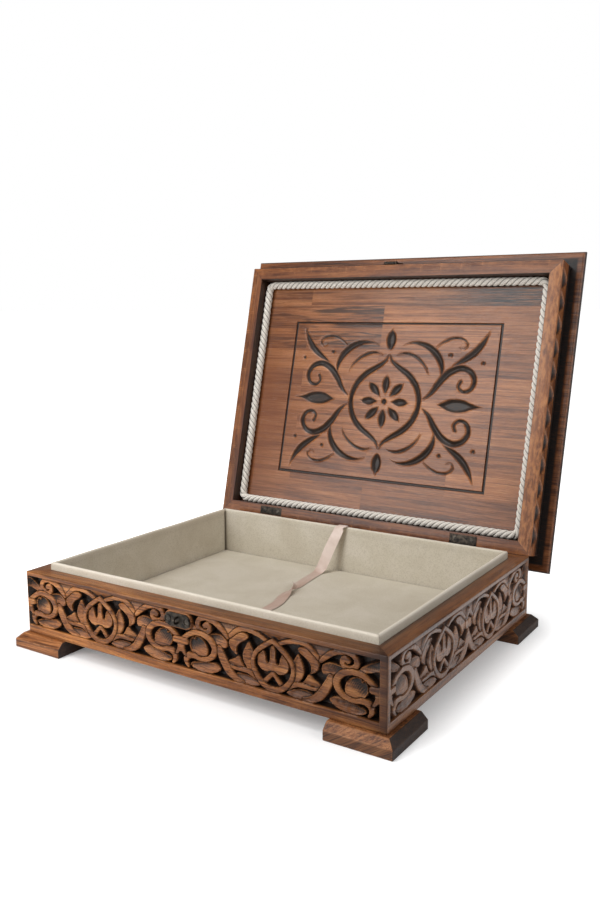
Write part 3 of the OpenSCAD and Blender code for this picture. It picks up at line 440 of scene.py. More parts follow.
# Points, depth of the top, depth of the hollow, and the side that the hollow falls to
DESIGN = [
    ([(-1, 43.6), (-1, 49.8), (18, 49.8), (15.6, 47), (8.6, 44.6), (3, 42.6)], 2.6, 0.8, DOWN),
    ([(46, 13.6), (50, 15.9), (57, 15.6), (65, 14.2), (71.5, 12.6), (73.5, 11), (70, 8.6), (62, 7.6),
      (54, 8.4), (48.5, 10.8)], 0.6, 1.6, (0.3, 1)),
    ([(11.5, 9.6), (17, 12.8), (24, 14.2), (31, 13.6), (33, 11), (28, 8.2), (19, 7.6)], 0.8, 1.5, UP),
    ([(57.6, 23), (58.4, 27.6), (61.8, 31.4), (66, 33.2), (69, 32.8), (70, 30.6), (71.6, 31.9), (74, 29),
      (74.2, 24.6), (71.6, 20.4), (66.5, 18.5), (61.5, 19), (58.7, 20.6)], 0.5, 2.4, (0.5, 0.85)),
    ([(39.6, 33), (40.6, 36.2), (45.5, 38.6), (52, 38.2), (57, 36.4), (55, 33.6), (49, 31.6), (44, 30.2),
      (40.8, 30.6)], 0.7, 1.7, (0.4, 0.9)),
    ([(23, 17.6), (26.5, 22), (29.6, 26.4), (33, 24.2), (39.6, 20.4), (38.5, 17.8), (33, 17), (27, 17)],
     0.6, 1.4, (0.2, -1)),
    ([(20.8, 38.8), (22.4, 36.4), (24.2, 33), (25.4, 29), (25, 25.4), (23, 21.8), (20, 18.4), (17.2, 17.4),
      (15.8, 22), (16, 30), (17.4, 34), (19, 36.6)], 0.5, 1.2, (-1, 0.2)),
    ([(30, 48.8), (40, 49.2), (52, 49.2), (49, 46.6), (44, 44.6), (40, 42), (37.6, 40), (35, 43.6),
      (32.4, 46.4)], 0.8, 1.6, UP),
    ([(21.4, 43.6), (25, 44.6), (30, 43.8), (34.6, 40.8), (37.2, 36.4), (36.6, 32), (33.8, 29.2), (31, 28),
      (31.8, 31), (30.8, 34.4), (28.2, 37.2), (24.6, 39.4), (21.8, 41.4)], 0.4, 1.1, (-0.7, -0.7)),
    ([(68.6, 39.4), (73, 42.8), (78, 45.4), (83.5, 47.6), (83.5, 41), (79.8, 40), (75.5, 38.4), (71, 38)],
     1.2, 2.2, UP),
    ([(6, 10.2, 1.4), (12, 13.4, 1.6), (18, 16.6, 1.5), (24, 17.7, 1.3), (32, 17.2, 1.0), (39, 18.2, 0.8)],
     0.4, 0, UP),
    ([(3.6, 42.2, 1.0), (9, 45, 1.2), (16, 47.2, 1.4), (22.5, 48, 1.5), (29, 46.6, 1.5), (34, 43, 1.4),
      (37.6, 39.6, 1.0)], 0.4, 0, UP),
    ([(39, 38.6, 1.0), (42, 41.6, 1.6), (46.5, 45.2, 1.8), (52.5, 47.9, 1.6), (59.5, 48.9, 1.5),
      (65, 46.8, 1.6), (66.4, 42.4, 1.7), (63, 38.8, 1.6), (58, 38.6, 1.5), (55.3, 41.4, 1.5),
      (57, 44.4, 1.8), (59.6, 43.2, 1.8)], 0.3, 0, UP),
    ([(46.6, 28.6, 2.3), (44.6, 24, 2.8), (41.6, 18.6, 3.1), (37.4, 13.2, 2.9), (31.6, 9.6, 2.0),
      (25.5, 8.2, 1.0)], 0.4, 0.9, (-0.8, 0.6)),
    ([(83, 27.6, 1.5), (78, 31.4, 1.6), (72, 35.2, 1.7), (65, 36.6, 1.8), (57.5, 34.8, 2.0), (52.6, 31, 2.2),
      (51, 26.4, 2.2), (53, 21.4, 2.0), (58, 18, 1.6), (65, 17, 1.4), (70.6, 18.1, 1.8), (75.4, 17.2, 2.2),
      (77.8, 14, 2.0), (77.2, 11, 1.4), (75.6, 9, 0.8)], 0.2, 0, UP),
    ([(80, 25.4), (80.2, 22), (79, 19), (77.8, 16.4), (80, 17), (81.6, 18.6), (83.5, 19.8), (83.5, 25.4)],
     0.5, 0.6, DOWN),
    ([(-0.6, 21.4, 1.2), (2.4, 18.4, 1.2), (5, 15.6, 1.3), (8, 12.6, 1.4)], 0.4, 0, UP),
    ([(-0.5, 24.2), (2.4, 22.6), (5.4, 21.4), (9.2, 22.2), (12, 24.6), (12.9, 28), (11.8, 31.6), (9.6, 34),
      (8, 35.2), (6.6, 33), (5.8, 29.8), (4.6, 27.4), (3, 28), (2, 32), (1.6, 38.6), (-0.5, 39.2)],
     0.4, 1.0, (0.5, 0.8)),
    ([(-0.8, 44.6, 1.3), (3.4, 42, 1.4), (9, 38.2, 1.5), (13.6, 34.2, 1.4), (16.3, 29.4, 1.3),
      (16.7, 24.4, 1.3), (14.8, 18.8, 1.5), (10.8, 13.6, 1.7), (5.6, 10, 1.8), (-0.8, 8.6, 1.8)], 0.2, 0, UP),
    ([(77.8, 27.4, 2.2), (80.5, 27.4, 2.3), (84, 27.4, 2.2)], 0.2, 0, UP),
]
print(len(DESIGN), "strokes and leaves in half a unit")

# %% [markdown]
# ## How far a point is inside a shape
# Carving cuts down beside a line and leaves the line standing. To do that with numbers, each point of the
# wall needs its distance to the edge of a shape: positive inside, negative outside. Blender's sculpt tools
# could carve by hand, but a distance gives crisp, even walls.

# %% Distances
FAR, TINY = 1e9, 1e-12


def smooth_path(points, closed=False, steps=5):
    """A smooth curve through the points."""
    p = np.asarray(points, float)
    n = len(p)
    spots = [p[i % n] if closed else p[min(max(i, 0), n - 1)] for i in range(-1, n + 2)]
    out = []
    for i in range(n if closed else n - 1):
        a, b, c, d = spots[i:i + 4]
        for s in np.arange(steps) / steps:
            bend = (2 * a - 5 * b + 4 * c - d) * s ** 2 + (3 * b - a - 3 * c + d) * s ** 3
            out.append(0.5 * (2 * b + (c - a) * s + bend))
    return np.array(out if closed else out + [p[-1]])


def nearest(a, b, start, end):
    """How far along a straight stretch each point lies, from 0 to 1, and its distance from there."""
    dx, dy = end[0] - start[0], end[1] - start[1]
    u = np.clip(((a - start[0]) * dx + (b - start[1]) * dy) / (dx * dx + dy * dy + TINY), 0, 1)
    return u, np.hypot(a - start[0] - u * dx, b - start[1] - u * dy)


def inside_stroke(points, a, b):
    line = smooth_path(points)
    best = np.full(a.shape, -FAR)
    for start, end in zip(line[:-1], line[1:]):
        u, gap = nearest(a, b, start, end)
        best = np.maximum(best, start[2] + (end[2] - start[2]) * u - gap)
    return best


def inside_leaf(points, a, b):
    line = smooth_path(points, closed=True)
    near, inside = np.full(a.shape, FAR), np.zeros(a.shape, bool)
    for start, end in zip(line, np.roll(line, -1, 0)):
        near = np.minimum(near, nearest(a, b, start, end)[1])
        dx, dy = end - start
        if abs(dy) > TINY:
            crossed = (start[1] > b) != (end[1] > b)
            inside ^= crossed & (a < dx * (b - start[1]) / dy + start[0])
    return np.where(inside, near, -near)


half_width = inside_stroke([(0, 0, 2), (9, 0, 2)], np.array([4.0]), np.array([0.0]))
print("the middle of a 4 mm stroke is inside by", half_width)

# %% [markdown]
# ## Carving the half unit
# The ground is cut 6 mm deep first. Then each shape is laid over what is there, in the order that the real
# strands cross: its top keeps near the face, its hollow is scooped to one side with painted shade on its
# deep side, striped by the gouge's marks, and a small groove runs round it, painted dark as shade.
# The result is three maps: the depth, the worn edges and the darkness, which is painted shade and a dark
# stain.

# %% Carve
GROUND, SWELL, CUT_SIDE = 6.0, 0.3, 0.9
LEAF_GROOVE, RAIL_GROOVE = 2.3, 1.7
CROWN_DROP, CROWN_EDGE, CUT_STEP, WORN_EDGE = 0.30, 0.5, 0.4, 0.40
SCOOP, SCOOP_EDGE, SCOOP_BEND, GOUGE_PITCH, GOUGE_DEEP = 1.5, 1.4, 1.3, 1.5, 0.45
# How dark the painted shade is: on a shape's top by its depth, in the knife's groove round it, and in a
# scoop.
CROWN_DARK, KNIFE_DARK, SCOOP_DARK, SCOOP_CLEAR = 0.34, 0.27, 0.24, 0.5
MAP_STEP = 0.3


def lay(maps, inside, top, groove=LEAF_GROOVE, shade=0.0):
    """Lays one shape over the carving: its top, its cut side and the groove round it."""
    depth, wear, dark = maps
    crown = top + CROWN_DROP * (1 - np.clip(inside / CROWN_EDGE, 0, 1)) ** 2
    outside = np.maximum(-inside, 0) / CUT_SIDE
    cut = np.maximum(np.minimum(depth, top + CUT_STEP + (GROUND - top) * outside), groove * (1 - outside))
    # A dark line of painted shade in the groove round the shape.
    knife_line = KNIFE_DARK * groove * np.sqrt(np.clip(1 - outside, 0, 1))

    def layer(on_top, beside, below):
        return np.where(inside > 0, on_top, np.where(outside < 1, beside, below))

    # The darkness map is painted shade, deeper is darker.
    return (layer(crown, cut, depth), layer(np.exp(-(inside / WORN_EDGE) ** 2), 0.0, wear),
            layer(CROWN_DARK * crown / GROUND + shade, np.maximum(cut / GROUND, knife_line), dark))


T, Z = np.meshgrid(np.arange(0, HALF_UNIT + MAP_STEP, MAP_STEP), np.arange(0, WALL_H + MAP_STEP, MAP_STEP))
ground_depth = GROUND + 0.35 * ripple(T, Z, size=5, seed=1)
# The cut ground starts fully dark, as painted shade with a dark stain.
unit_maps = ground_depth, np.zeros(T.shape), ground_depth / GROUND
hand = ripple(T, Z, size=8, seed=4)
for points, top, hollow, fall in DESIGN:
    inside = SWELL + (inside_stroke if len(points[0]) == 3 else inside_leaf)(points, T, Z)
    spots = np.array([p[:2] for p in points])
    middle = spots.mean(0)
    along = (T - middle[0]) * fall[0] + (Z - middle[1]) * fall[1]
    reach = max(np.abs((spots - middle) @ np.array(fall)).max(), 1.0)
    down = np.clip(0.5 + 0.5 * along / reach, 0, 1) ** SCOOP_BEND
    scoop = SCOOP * hollow * down * np.clip(inside / SCOOP_EDGE, 0, 1)
    gouge_marks = 1 + GOUGE_DEEP * np.sin(2 * np.pi * (T * fall[1] - Z * fall[0]) / GOUGE_PITCH + 2 * hand)
    # Painted shade on the deep side of each scoop, striped by the gouge's marks.
    shade = SCOOP_DARK * np.clip(scoop - SCOOP_CLEAR, 0, 2) * gouge_marks
    unit_maps = lay(unit_maps, inside, top + scoop, shade=shade)
for inside in (Z - RAIL_TOP, RAIL_LOW - Z):
    unit_maps = lay(unit_maps, inside, 0.0, RAIL_GROOVE)
unit_maps[0][:] += 0.09 * ripple(T, Z, size=9, seed=2) + 0.10 * ripple(T, Z, size=3.4, seed=3)
print("carved", T.shape, "points, deepest", round(float(unit_maps[0].max()), 2), "mm")

# %% [markdown]
# ## From the maps to a board
# A wall or rail is a mitred board. Its outer face is a fine grid pushed in by the carving; its edges and
# back are plain. A displacement modifier could push a plane in, but here the grid is written directly, so
# the rounded corner, the soft arrises and the mitre all come out exact and the board is closed.

# %% Carved board
CORNER, LEAST_WOOD, NEAR_BACK = 1.5, 1.2, 0.95
EDGE_WORN, END_WORN, EDGE_RUB = 1.6, 2.0, 0.4
# Where the mitre meets the round corner
CORNER_IN = 0.293 * CORNER + 0.03
ARRIS_STEPS = np.array([0, 0.05, 0.17, 0.38, 0.67])


def look_up(table, t, z):
    """Reads a map between its points."""
    i, j = np.clip(z / MAP_STEP, 0, table.shape[0] - 1.001), np.clip(t / MAP_STEP, 0, table.shape[1] - 1.001)
    i0, j0 = i.astype(int), j.astype(int)
    fi, fj = i - i0, j - j0
    return ((table[i0, j0] * (1 - fj) + table[i0, j0 + 1] * fj) * (1 - fi)
            + (table[i0 + 1, j0] * (1 - fj) + table[i0 + 1, j0 + 1] * fj) * fi)


def rounding(gap, radius):
    """How far a rounded edge falls away, a gap in from the edge."""
    inner = np.clip(radius - gap, 0, radius)
    return radius - np.sqrt(np.maximum(radius ** 2 - inner ** 2, 0))


def carved_board(length, height, thick, relief, step, arris=0.8, inside=0.0):
    """Points, faces and fields of one mitred board: outer face on y = 0, length on x, height on z from 0."""
    half = length / 2
    soft = ARRIS_STEPS * arris
    u = np.r_[np.arange(-half + CORNER_IN, half - CORNER_IN, step), half - CORNER_IN]
    v = np.r_[soft, np.arange(arris, height - arris, step), height - soft[::-1]]
    U, V = np.meshgrid(u, v)
    depth, wear, dark = relief(U, V)
    end_gap = half - np.abs(U)
    rounded = rounding(end_gap, CORNER)
    back = np.minimum(thick, half - np.abs(u))
    shaped = np.maximum(depth, 0) + rounding(V, arris) + rounding(height - V, arris) + rounded
    least = np.maximum(back - LEAST_WOOD, 0)[None, :]
    shaped = np.minimum(shaped, least + np.minimum(rounded, LEAST_WOOD - 0.05))
    shaped = np.minimum(shaped, back[None, :] - 0.02)
    edge_gap = np.minimum(V, height - V)
    edge_wear = np.clip(1 - edge_gap / EDGE_WORN, 0, 1) + np.clip(1 - end_gap / END_WORN, 0, 1)
    strips = [(np.maximum(back * NEAR_BACK, shaped[-1]), height), (back, height),
              (back, 0.0), (np.maximum(back * NEAR_BACK, shaped[0]), 0.0)]
    points = np.vstack([np.c_[U.ravel(), shaped.ravel(), V.ravel()]]
                       + [np.c_[u, y, np.full(len(u), z)] for y, z in strips])
    rows, cols = len(v) + len(strips), len(u)
    last = (rows - 1) * cols
    faces = grid_faces(rows, cols) + [(last + k, last + k + 1, k + 1, k) for k in range(cols - 1)]
    faces += [[r * cols + k for r in range(rows)] for k in (0, cols - 1)]
    worn = np.clip(wear.ravel() + EDGE_RUB * edge_wear.ravel(), 0, 1)
    # The back face takes the darkness given as inside, where painted shade is set.
    return points, faces, {"depth": np.r_[dark.ravel(), np.repeat([0.0, inside, inside, 0.0], cols)],
                           "wear": np.r_[worn, np.zeros(len(strips) * cols)]}


def turned(points, side, width, depth, low):
    """Stands a board on one side of the box: front 0, right 1, back 2, left 3."""
    away = depth / 2 if side % 2 == 0 else width / 2
    x, y, z = points[:, 0], points[:, 1] - away, points[:, 2] + low
    c, s = [(1, 0), (0, 1), (-1, 0), (0, -1)][side]
    return np.c_[c * x - s * y, s * x + c * y, z]


print("boards can be carved")

# %% [markdown]
# ## The four carved walls
# The front and back carry two medallions with a tie between them. The shorter sides carry two that stand
# closer, so the scroll between them is cut through the middle and meets its own mirror image. A plain
# stile is left at each end, and a flat pad where the catch is screwed on. The front is painted darker
# towards its right end, as shade where the light falls off.

# %% Walls
WALL_T, WALL_STEP = 14.0, 0.5
PATTERN_SHIFT, SIDE_AXIS = -2.5, 45.0
LATCH_X, STAPLE_V = -4.0, 43.0
PAD_HALF, PAD_R, PLATE_R, PLATE_SINK = 6.75, 6.4, 6.0, 0.03


def wall_relief(axes, pad):
    def relief(U, V):
        t = np.min([np.abs(U - axis) for axis in axes], axis=0)
        maps = lay([look_up(table, t, V) for table in unit_maps], t - HALF_UNIT - 0.4, 0.0, groove=0.0)
        if pad:
            round_end = np.hypot(np.maximum(np.abs(U - LATCH_X) - PAD_HALF, 0), V - STAPLE_V)
            maps = lay(maps, PAD_R - round_end, 0.0, groove=0.0)
            maps = np.where(round_end < PLATE_R, PLATE_SINK, maps[0]), *maps[1:]
        return maps[0], 0.8 * maps[1], maps[2]
    return relief


def wall_shade_and_browning(side, along, high):
    """How far a wall is darkened, along it from -1 to 1: painted shade and browning, on the front growing
    towards the right end where the light falls off, with more on the strip above the carving.
    """
    if side == 0:
        to_right, last_stile = np.clip(0.45 + 0.55 * along, 0, 1), np.clip(along * 10 - 9, 0, 1)
        return 0.55 * to_right ** 1.5 + 0.35 * last_stile + 0.22 * high
    return 0.3 + (side == 1) * (0.15 * (1 - along) + 0.15 * high)


WALLS = {
    "front_wall": (BOX_W, [PATTERN_SHIFT - HALF_UNIT, PATTERN_SHIFT + HALF_UNIT], carved_wood),
    "right_wall": (BOX_D, [-SIDE_AXIS, SIDE_AXIS], side_wood_lit_hollows),
    "back_wall": (BOX_W, [-HALF_UNIT, HALF_UNIT], carved_wood),
    "left_wall": (BOX_D, [-SIDE_AXIS, SIDE_AXIS], side_wood_lit_hollows),
}
walls = {}
for side, (name, (length, axes, cut_of_wood)) in enumerate(WALLS.items()):
    points, faces, fields = carved_board(length, WALL_H, WALL_T, wall_relief(axes, side == 0), WALL_STEP)
    fields["grain"] = np.c_[points[:, 0] + 500 * side, points[:, 2], points[:, 1] + 40 * side]
    # Painted shade and browning along each wall.
    fields["aged"] = wall_shade_and_browning(side, points[:, 0] / (length / 2), points[:, 2] > RAIL_TOP)
    stood = turned(points, side, BOX_W, BOX_D, FOOT_H)
    walls[name] = make_piece("carved_" + name, stood, faces, BOX, cut_of_wood, fields, name,
                             sharp=60)
    print(name, len(faces), "faces")

# %% [markdown]
# ## Letting in the hinges
# Each hinge leaf lies flush in the wood, and half of its barrel has a hollow of its own. A maker chops
# these out with a chisel. A boolean modifier does the same here: a flat cutter and a round one for each
# hinge, taken away from the wall and from the lid's back rail.

# %% Hinge recess cutters
HINGE_X, HINGE_W, LEAF_REACH, LEAF_T, BARREL_R, LID_GAP = 107.0, 26.0, 10.0, 1.0, 2.0, 0.3
LEAF_PLAY, BARREL_PLAY, END_PLAY, LEAF_SINK, OVERCUT, OVERCUT_Y = 0.3, 0.2, 0.5, 0.02, 0.5, 3


def cut_away(piece, tool, place):
    """Takes a tool's shape, given in millimetres, out of a piece."""
    bmesh.ops.transform(tool, matrix=place, verts=tool.verts)
    bmesh.ops.recalc_face_normals(tool, faces=tool.faces)
    mesh = bpy.data.meshes.new("cutter")
    tool.to_mesh(mesh)
    tool.free()
    cutter = bpy.data.objects.new("cutter", mesh)
    bpy.context.scene.collection.objects.link(cutter)
    cut = piece.modifiers.new("cut_away", "BOOLEAN")
    cut.operation, cut.solver, cut.object = "DIFFERENCE", "EXACT", cutter
    result = bpy.data.meshes.new_from_object(piece.evaluated_get(bpy.context.evaluated_depsgraph_get()))
    piece.modifiers.remove(cut)
    bpy.data.objects.remove(cutter)
    piece.data = result


def drill(radius, depth, turn=Matrix()):
    """A round tool about its own middle."""
    tool = bmesh.new()
    bmesh.ops.create_cone(tool, cap_ends=True, segments=32, radius1=radius, radius2=radius, depth=depth,
                          matrix=turn)
    return tool


def let_in_hinges(piece, to_row, up):
    low, high = -LEAF_T - LEAF_SINK, OVERCUT
    if up:
        low, high = LID_GAP - OVERCUT, LID_GAP + LEAF_T + LEAF_SINK
    reach = LEAF_REACH + LEAF_PLAY
    size = Vector((HINGE_W + END_PLAY, reach + OVERCUT_Y, high - low))
    middle = Vector((0, OVERCUT_Y / 2 - reach / 2, (low + high) / 2))
    leaf_block = Matrix.Translation(middle) @ Matrix.Diagonal(size).to_4x4()
    for sign in (-1, 1):
        leaf = bmesh.new()
        bmesh.ops.create_cube(leaf, size=1, matrix=leaf_block)
        barrel = drill(BARREL_R + BARREL_PLAY, HINGE_W + END_PLAY, Matrix.Rotation(math.pi / 2, 4, "Y"))
        for tool in (leaf, barrel):
            cut_away(piece, tool, to_row @ Matrix.Translation((sign * HINGE_X, BOX_D / 2, RIM_Z)))


let_in_hinges(walls["back_wall"], box_frame, up=False)
print("back wall let in for hinges,", len(walls["back_wall"].data.polygons), "faces")

# %% [markdown]
# ## Lid rails
# The lid's frame is four mitred rails. Their outer sides are cut with one gouge in a row of thumb-shaped
# notches, deepest near the rim, under a sunk band. Notches, band and inner sides are painted dark as shade,
# and the lands beside the notches get a painted highlight. The rails use the same board helper as the
# walls, with a notch formula in place of the drawing.

# %% Rails
RAIL_H, RAIL_T, RAIL_STEP = 24.0, 12.0, 0.7
LID_Z = RIM_Z + LID_GAP
NOTCH_PITCH, NOTCH_FOOT, NOTCH_TIP, NOTCH_HALF, NOTCH_DEEP = 21.0, 1.4, 15.6, 9.4, 4.2
NOTCH_SIDE, NOTCH_ARCH, NOTCH_STOP, NOTCH_DARK = 1.6, 1.25, 0.7, 2.6
BOWL_SLOPE, BOWL_ROUND, BOWL_FADE = 2.1, 0.75, 0.35
BAND_LOW, BAND_DEEP, BAND_EDGE, HIGHLIGHT_BELOW = 15.8, 1.2, 0.5, 17


def notched(count):
    """The relief of a rail with this many notches."""
    def relief(U, V):
        shift = NOTCH_PITCH * (1.0 if count % 2 == 0 else 0.5)
        s = np.mod(U + shift, NOTCH_PITCH) - NOTCH_PITCH / 2
        up = (V - NOTCH_FOOT) / (NOTCH_TIP - NOTCH_FOOT)
        room = 1 - np.abs(s / NOTCH_HALF) ** NOTCH_SIDE - np.clip(up, 0, None) ** NOTCH_ARCH
        stop = np.clip((V - NOTCH_FOOT) / NOTCH_STOP, 0, 1)
        in_row = np.abs(U) < count * NOTCH_PITCH / 2 + 1
        bowl = NOTCH_DEEP * np.clip(room * BOWL_SLOPE, 0, 1) ** BOWL_ROUND
        bowl = bowl * stop * (1 - BOWL_FADE * np.clip(up, 0, 1)) * in_row
        band = np.clip((V - BAND_LOW) / BAND_EDGE, 0, 1)
        depth = np.maximum(bowl, BAND_DEEP * band) + 0.05 * ripple(U, V, size=8, seed=5)
        # A painted highlight on the lands close beside each notch, below the band.
        wear = np.exp(-((room - 0.02) / 0.10) ** 2) * (room < 0.02) * (V < HIGHLIGHT_BELOW) * in_row
        # Painted shade in the notches and in the sunk band beside the board.
        return depth, wear, np.maximum(np.clip(bowl / NOTCH_DARK, 0, 1), band)
    return relief


rails = {}
for side, name in enumerate(("lid_front_rail", "lid_right_rail", "lid_back_rail", "lid_left_rail")):
    length, count = (BOX_W, 15) if side % 2 == 0 else (BOX_D, 12)
    # The rails' inner sides get painted shade.
    points, faces, fields = carved_board(length, RAIL_H, RAIL_T, notched(count), RAIL_STEP, arris=0.6,
                                         inside=0.6)
    fields["grain"] = np.c_[points[:, 0] + 700 * side + 90, points[:, 2] * 0.8, points[:, 1] + 23 * side]
    # A painted highlight along the rim edge of the right rail.
    if side == 1:
        fields["wear"] = np.where(points[:, 2] < 0.01, 0.9, fields["wear"])
    stood = turned(points, side, BOX_W, BOX_D, LID_Z)
    rails[name] = make_piece("gouged_" + name, stood, faces, LID, rail_wood, fields, name,
                             sharp=50)
let_in_hinges(rails["lid_back_rail"], lid_frame, up=True)
print("rails made, back rail", len(rails["lid_back_rail"].data.polygons), "faces")

# %% [markdown]
# ## Inner panel
# A wide board fills the lid. A narrow line is routed into it as a frame, and an ornament of split leaves
# round a rosette is cut inside. The line has steep sides, the ornament is a V-cut, and both are dark. Only
# the middle of the panel needs a fine grid, so the rest is left coarse and the mesh stays light.

# %% Panel ornament
# One quarter of the ornament, mirrored both ways. A point gives its distance from the upright middle line,
# from the level one, and a half width. A leaf is a stroke that swells.
VINES = [
    [(0, 48, 0.8), (4.5, 40.5, 2), (13, 34.5, 3), (24, 27.5, 3.5), (33, 17.5, 3.3), (37.5, 6, 2.9),
     (38, -3, 2.8)],
    [(42.5, 4.5, 0.9), (50, 11, 2.4), (57, 21.5, 3.5), (66, 31.5, 3.9), (77.5, 36.5, 3.6), (88, 33.5, 3.1),
     (93, 25, 2.7), (90, 16.5, 2.4), (82.5, 14, 2.1), (77.5, 18.5, 1.8), (79.5, 24, 1.9)],
    [(58.5, 27, 0.8), (58, 37, 2.6), (53, 47, 3.7), (44, 55, 3.6), (33, 59.5, 2.6), (22, 60, 1.3),
     (14, 57.5, 0.5)],
    [(69.5, 38.5, 0.9), (80, 44.5, 3), (89.5, 51.5, 3.7), (96.5, 60, 3), (101, 68, 1.4), (103.5, 73.5, 0.4)],
    [(8, 47.5, 0.6), (16, 49.5, 1.6), (25, 48, 2), (34, 43, 1.8), (41, 36, 1.3), (44.5, 29, 0.6)],
    [(49, 55, 0.6), (57, 61.5, 1.4), (67, 65.5, 1.7), (77, 64.5, 1.5), (82, 59.5, 1.2), (79, 55, 1),
     (74.5, 56.5, 0.7)],
    [(57, 0, 0), (64, 0, 3.2), (73, 0, 6.6), (83, 0, 6.4), (92, 0, 3.4), (99, 0, 1.4), (107, 0, 0)],
    [(0, 52, 0), (0, 56, 3.4), (0, 61.5, 5.6), (0, 66.5, 4.8), (0, 71, 1.8), (0, 76.5, 0)],
]
PETAL = [(6.5, 0, 0), (11, 0, 2.2), (16.5, 0, 4.4), (21.5, 0, 3.6), (25, 0, 1.4), (28.5, 0, 0)]
DOTS = [(66, 49, 2.3), (100, 42, 2.2), (0, 0, 3.4)]
PETALS = 8


def ornament(x, y):
    """How far each point is inside the ornament."""
    p, q = np.abs(x), np.abs(y)
    best = np.max([radius - np.hypot(p - a, q - b) for a, b, radius in DOTS], axis=0)
    for vine in VINES:
        best = np.maximum(best, inside_stroke(vine, p, q))
    r, angle = np.hypot(p, q), np.arctan2(q, p)
    turn = np.mod(angle + np.pi / PETALS, 2 * np.pi / PETALS) - np.pi / PETALS
    return np.maximum(best, inside_stroke(PETAL, r * np.cos(turn), r * np.sin(turn)))


print("ornament of", len(VINES), "strokes in a quarter, and", PETALS, "petals")

# %% Panel
PANEL_PLAY, PANEL_Z, PANEL_T = 0.4, LID_Z + 16.0, 8.0
panel_w, panel_d = BOX_W - 2 * RAIL_T - PANEL_PLAY, BOX_D - 2 * RAIL_T - PANEL_PLAY
LINE_X, LINE_FRONT, LINE_BACK, LINE_W, LINE_DEEP = 115.5, -78.0, 83.0, 2.2, 1.5
SEAM, STAVE_H, STAVE_END = -94.5, 23.0, -12.0
CUT_SLOPE, CUT_DEEP, CUT_OUT = 0.85, 3.0, 0.1
FINE, COARSE, FINE_OUT_X, FINE_OUT_Y, SEAM_HALF = 0.74, 4.0, 2.5, 3.0, 0.15
STAIN_FROM, STAIN_OVER, EDGE_DARKENING, EDGE_FADE = 40, 70, 0.35, 12
# Middle and reach of a smoke stain and of a painted warm glow in the finish
SMOKED, PAINTED_WARM_GLOW = ((40, -98), (60, 6)), ((-150, 20), (85, 160))


def fine_between(half, low, high):
    """Places across the panel, close together from low to high, where it is cut."""
    return np.r_[np.linspace(-half, low, int((low + half) / COARSE) + 1)[:-1], np.arange(low, high, FINE),
                 np.linspace(high, half, int((half - high) / COARSE) + 1)]


def spot(x, y, at, reach):
    """Fades from 1 at a place to 0 at its reach."""
    return np.clip(1 - np.hypot((x - at[0]) / reach[0], (y - at[1]) / reach[1]), 0, 1)


panel_x = fine_between(panel_w / 2, -LINE_X - FINE_OUT_X, LINE_X + FINE_OUT_X)
panel_y = fine_between(panel_d / 2, LINE_FRONT - FINE_OUT_Y, LINE_BACK + FINE_OUT_Y)
X, Y = np.meshgrid(panel_x, np.sort(np.r_[panel_y, SEAM - SEAM_HALF, SEAM + SEAM_HALF]))
line = np.maximum(np.abs(X) - LINE_X, np.maximum(LINE_FRONT - Y, Y - LINE_BACK))
routed = np.clip(np.minimum(-line, line + LINE_W) * 4, 0, 1) * LINE_DEEP
cut = np.clip((ornament(X, Y - (LINE_FRONT + LINE_BACK) / 2) + CUT_OUT) * CUT_SLOPE, 0, CUT_DEEP)
panel_depth = np.maximum(routed, cut)
panel_face = PANEL_Z + panel_depth + 0.05 * ripple(X, Y, size=60, seed=8)
points, faces, hidden = slab(X, Y, panel_face, PANEL_Z + PANEL_T)
px, py = points[:, 0], points[:, 1]
edge_gap = np.minimum(panel_w / 2 - np.abs(px), panel_d / 2 - np.abs(py))
figured = (py > SEAM) & (py < SEAM + 2 * STAVE_H) & (px < STAVE_END)
below_seam = (py < SEAM) * np.clip((px - STAIN_FROM) / STAIN_OVER, 0, 1)
# Darker towards the panel's edges, beside the rails.
stain = below_seam + EDGE_DARKENING * np.exp(-edge_gap / EDGE_FADE)
stain = stain + 0.5 * spot(px, py, *SMOKED) + 0.25 * figured * np.clip((px + 70) / 60, 0, 1)
# A painted warm glow on the panel's left side.
warm = 0.95 * spot(px, py, *PAINTED_WARM_GLOW)
make_piece("cut_inner_panel", points, faces, LID, panel_wood, {
    "depth": np.r_[panel_depth.ravel() / 4, np.zeros(hidden)], "wear": np.zeros(len(points)),
    "stain": np.clip(stain, 0, 1), "glow": np.clip(warm, 0, 0.75), "figure": 0.85 * figured,
    "grain": np.c_[px + 900, py, points[:, 2]]}, "lid_inner_panel", sharp=50)
print("panel", len(faces), "faces, cut to", round(float(panel_depth.max()), 2), "mm")

# %% [markdown]
# ## Blocks with worn edges
# Feet and lid board are plain blocks. What makes them look real is the edge: slightly round, and lighter
# where it has been knocked. A bevel modifier rounds an edge, but it can't tell the material where the edge
# is. Beveling in bmesh can, so the new edge faces get wear and the flats are inset to stay clean.

# %% Worn block
TRUE_ANGLE, FLAT_INSET, LONG_EDGE = 0.2, 0.8, 6.0


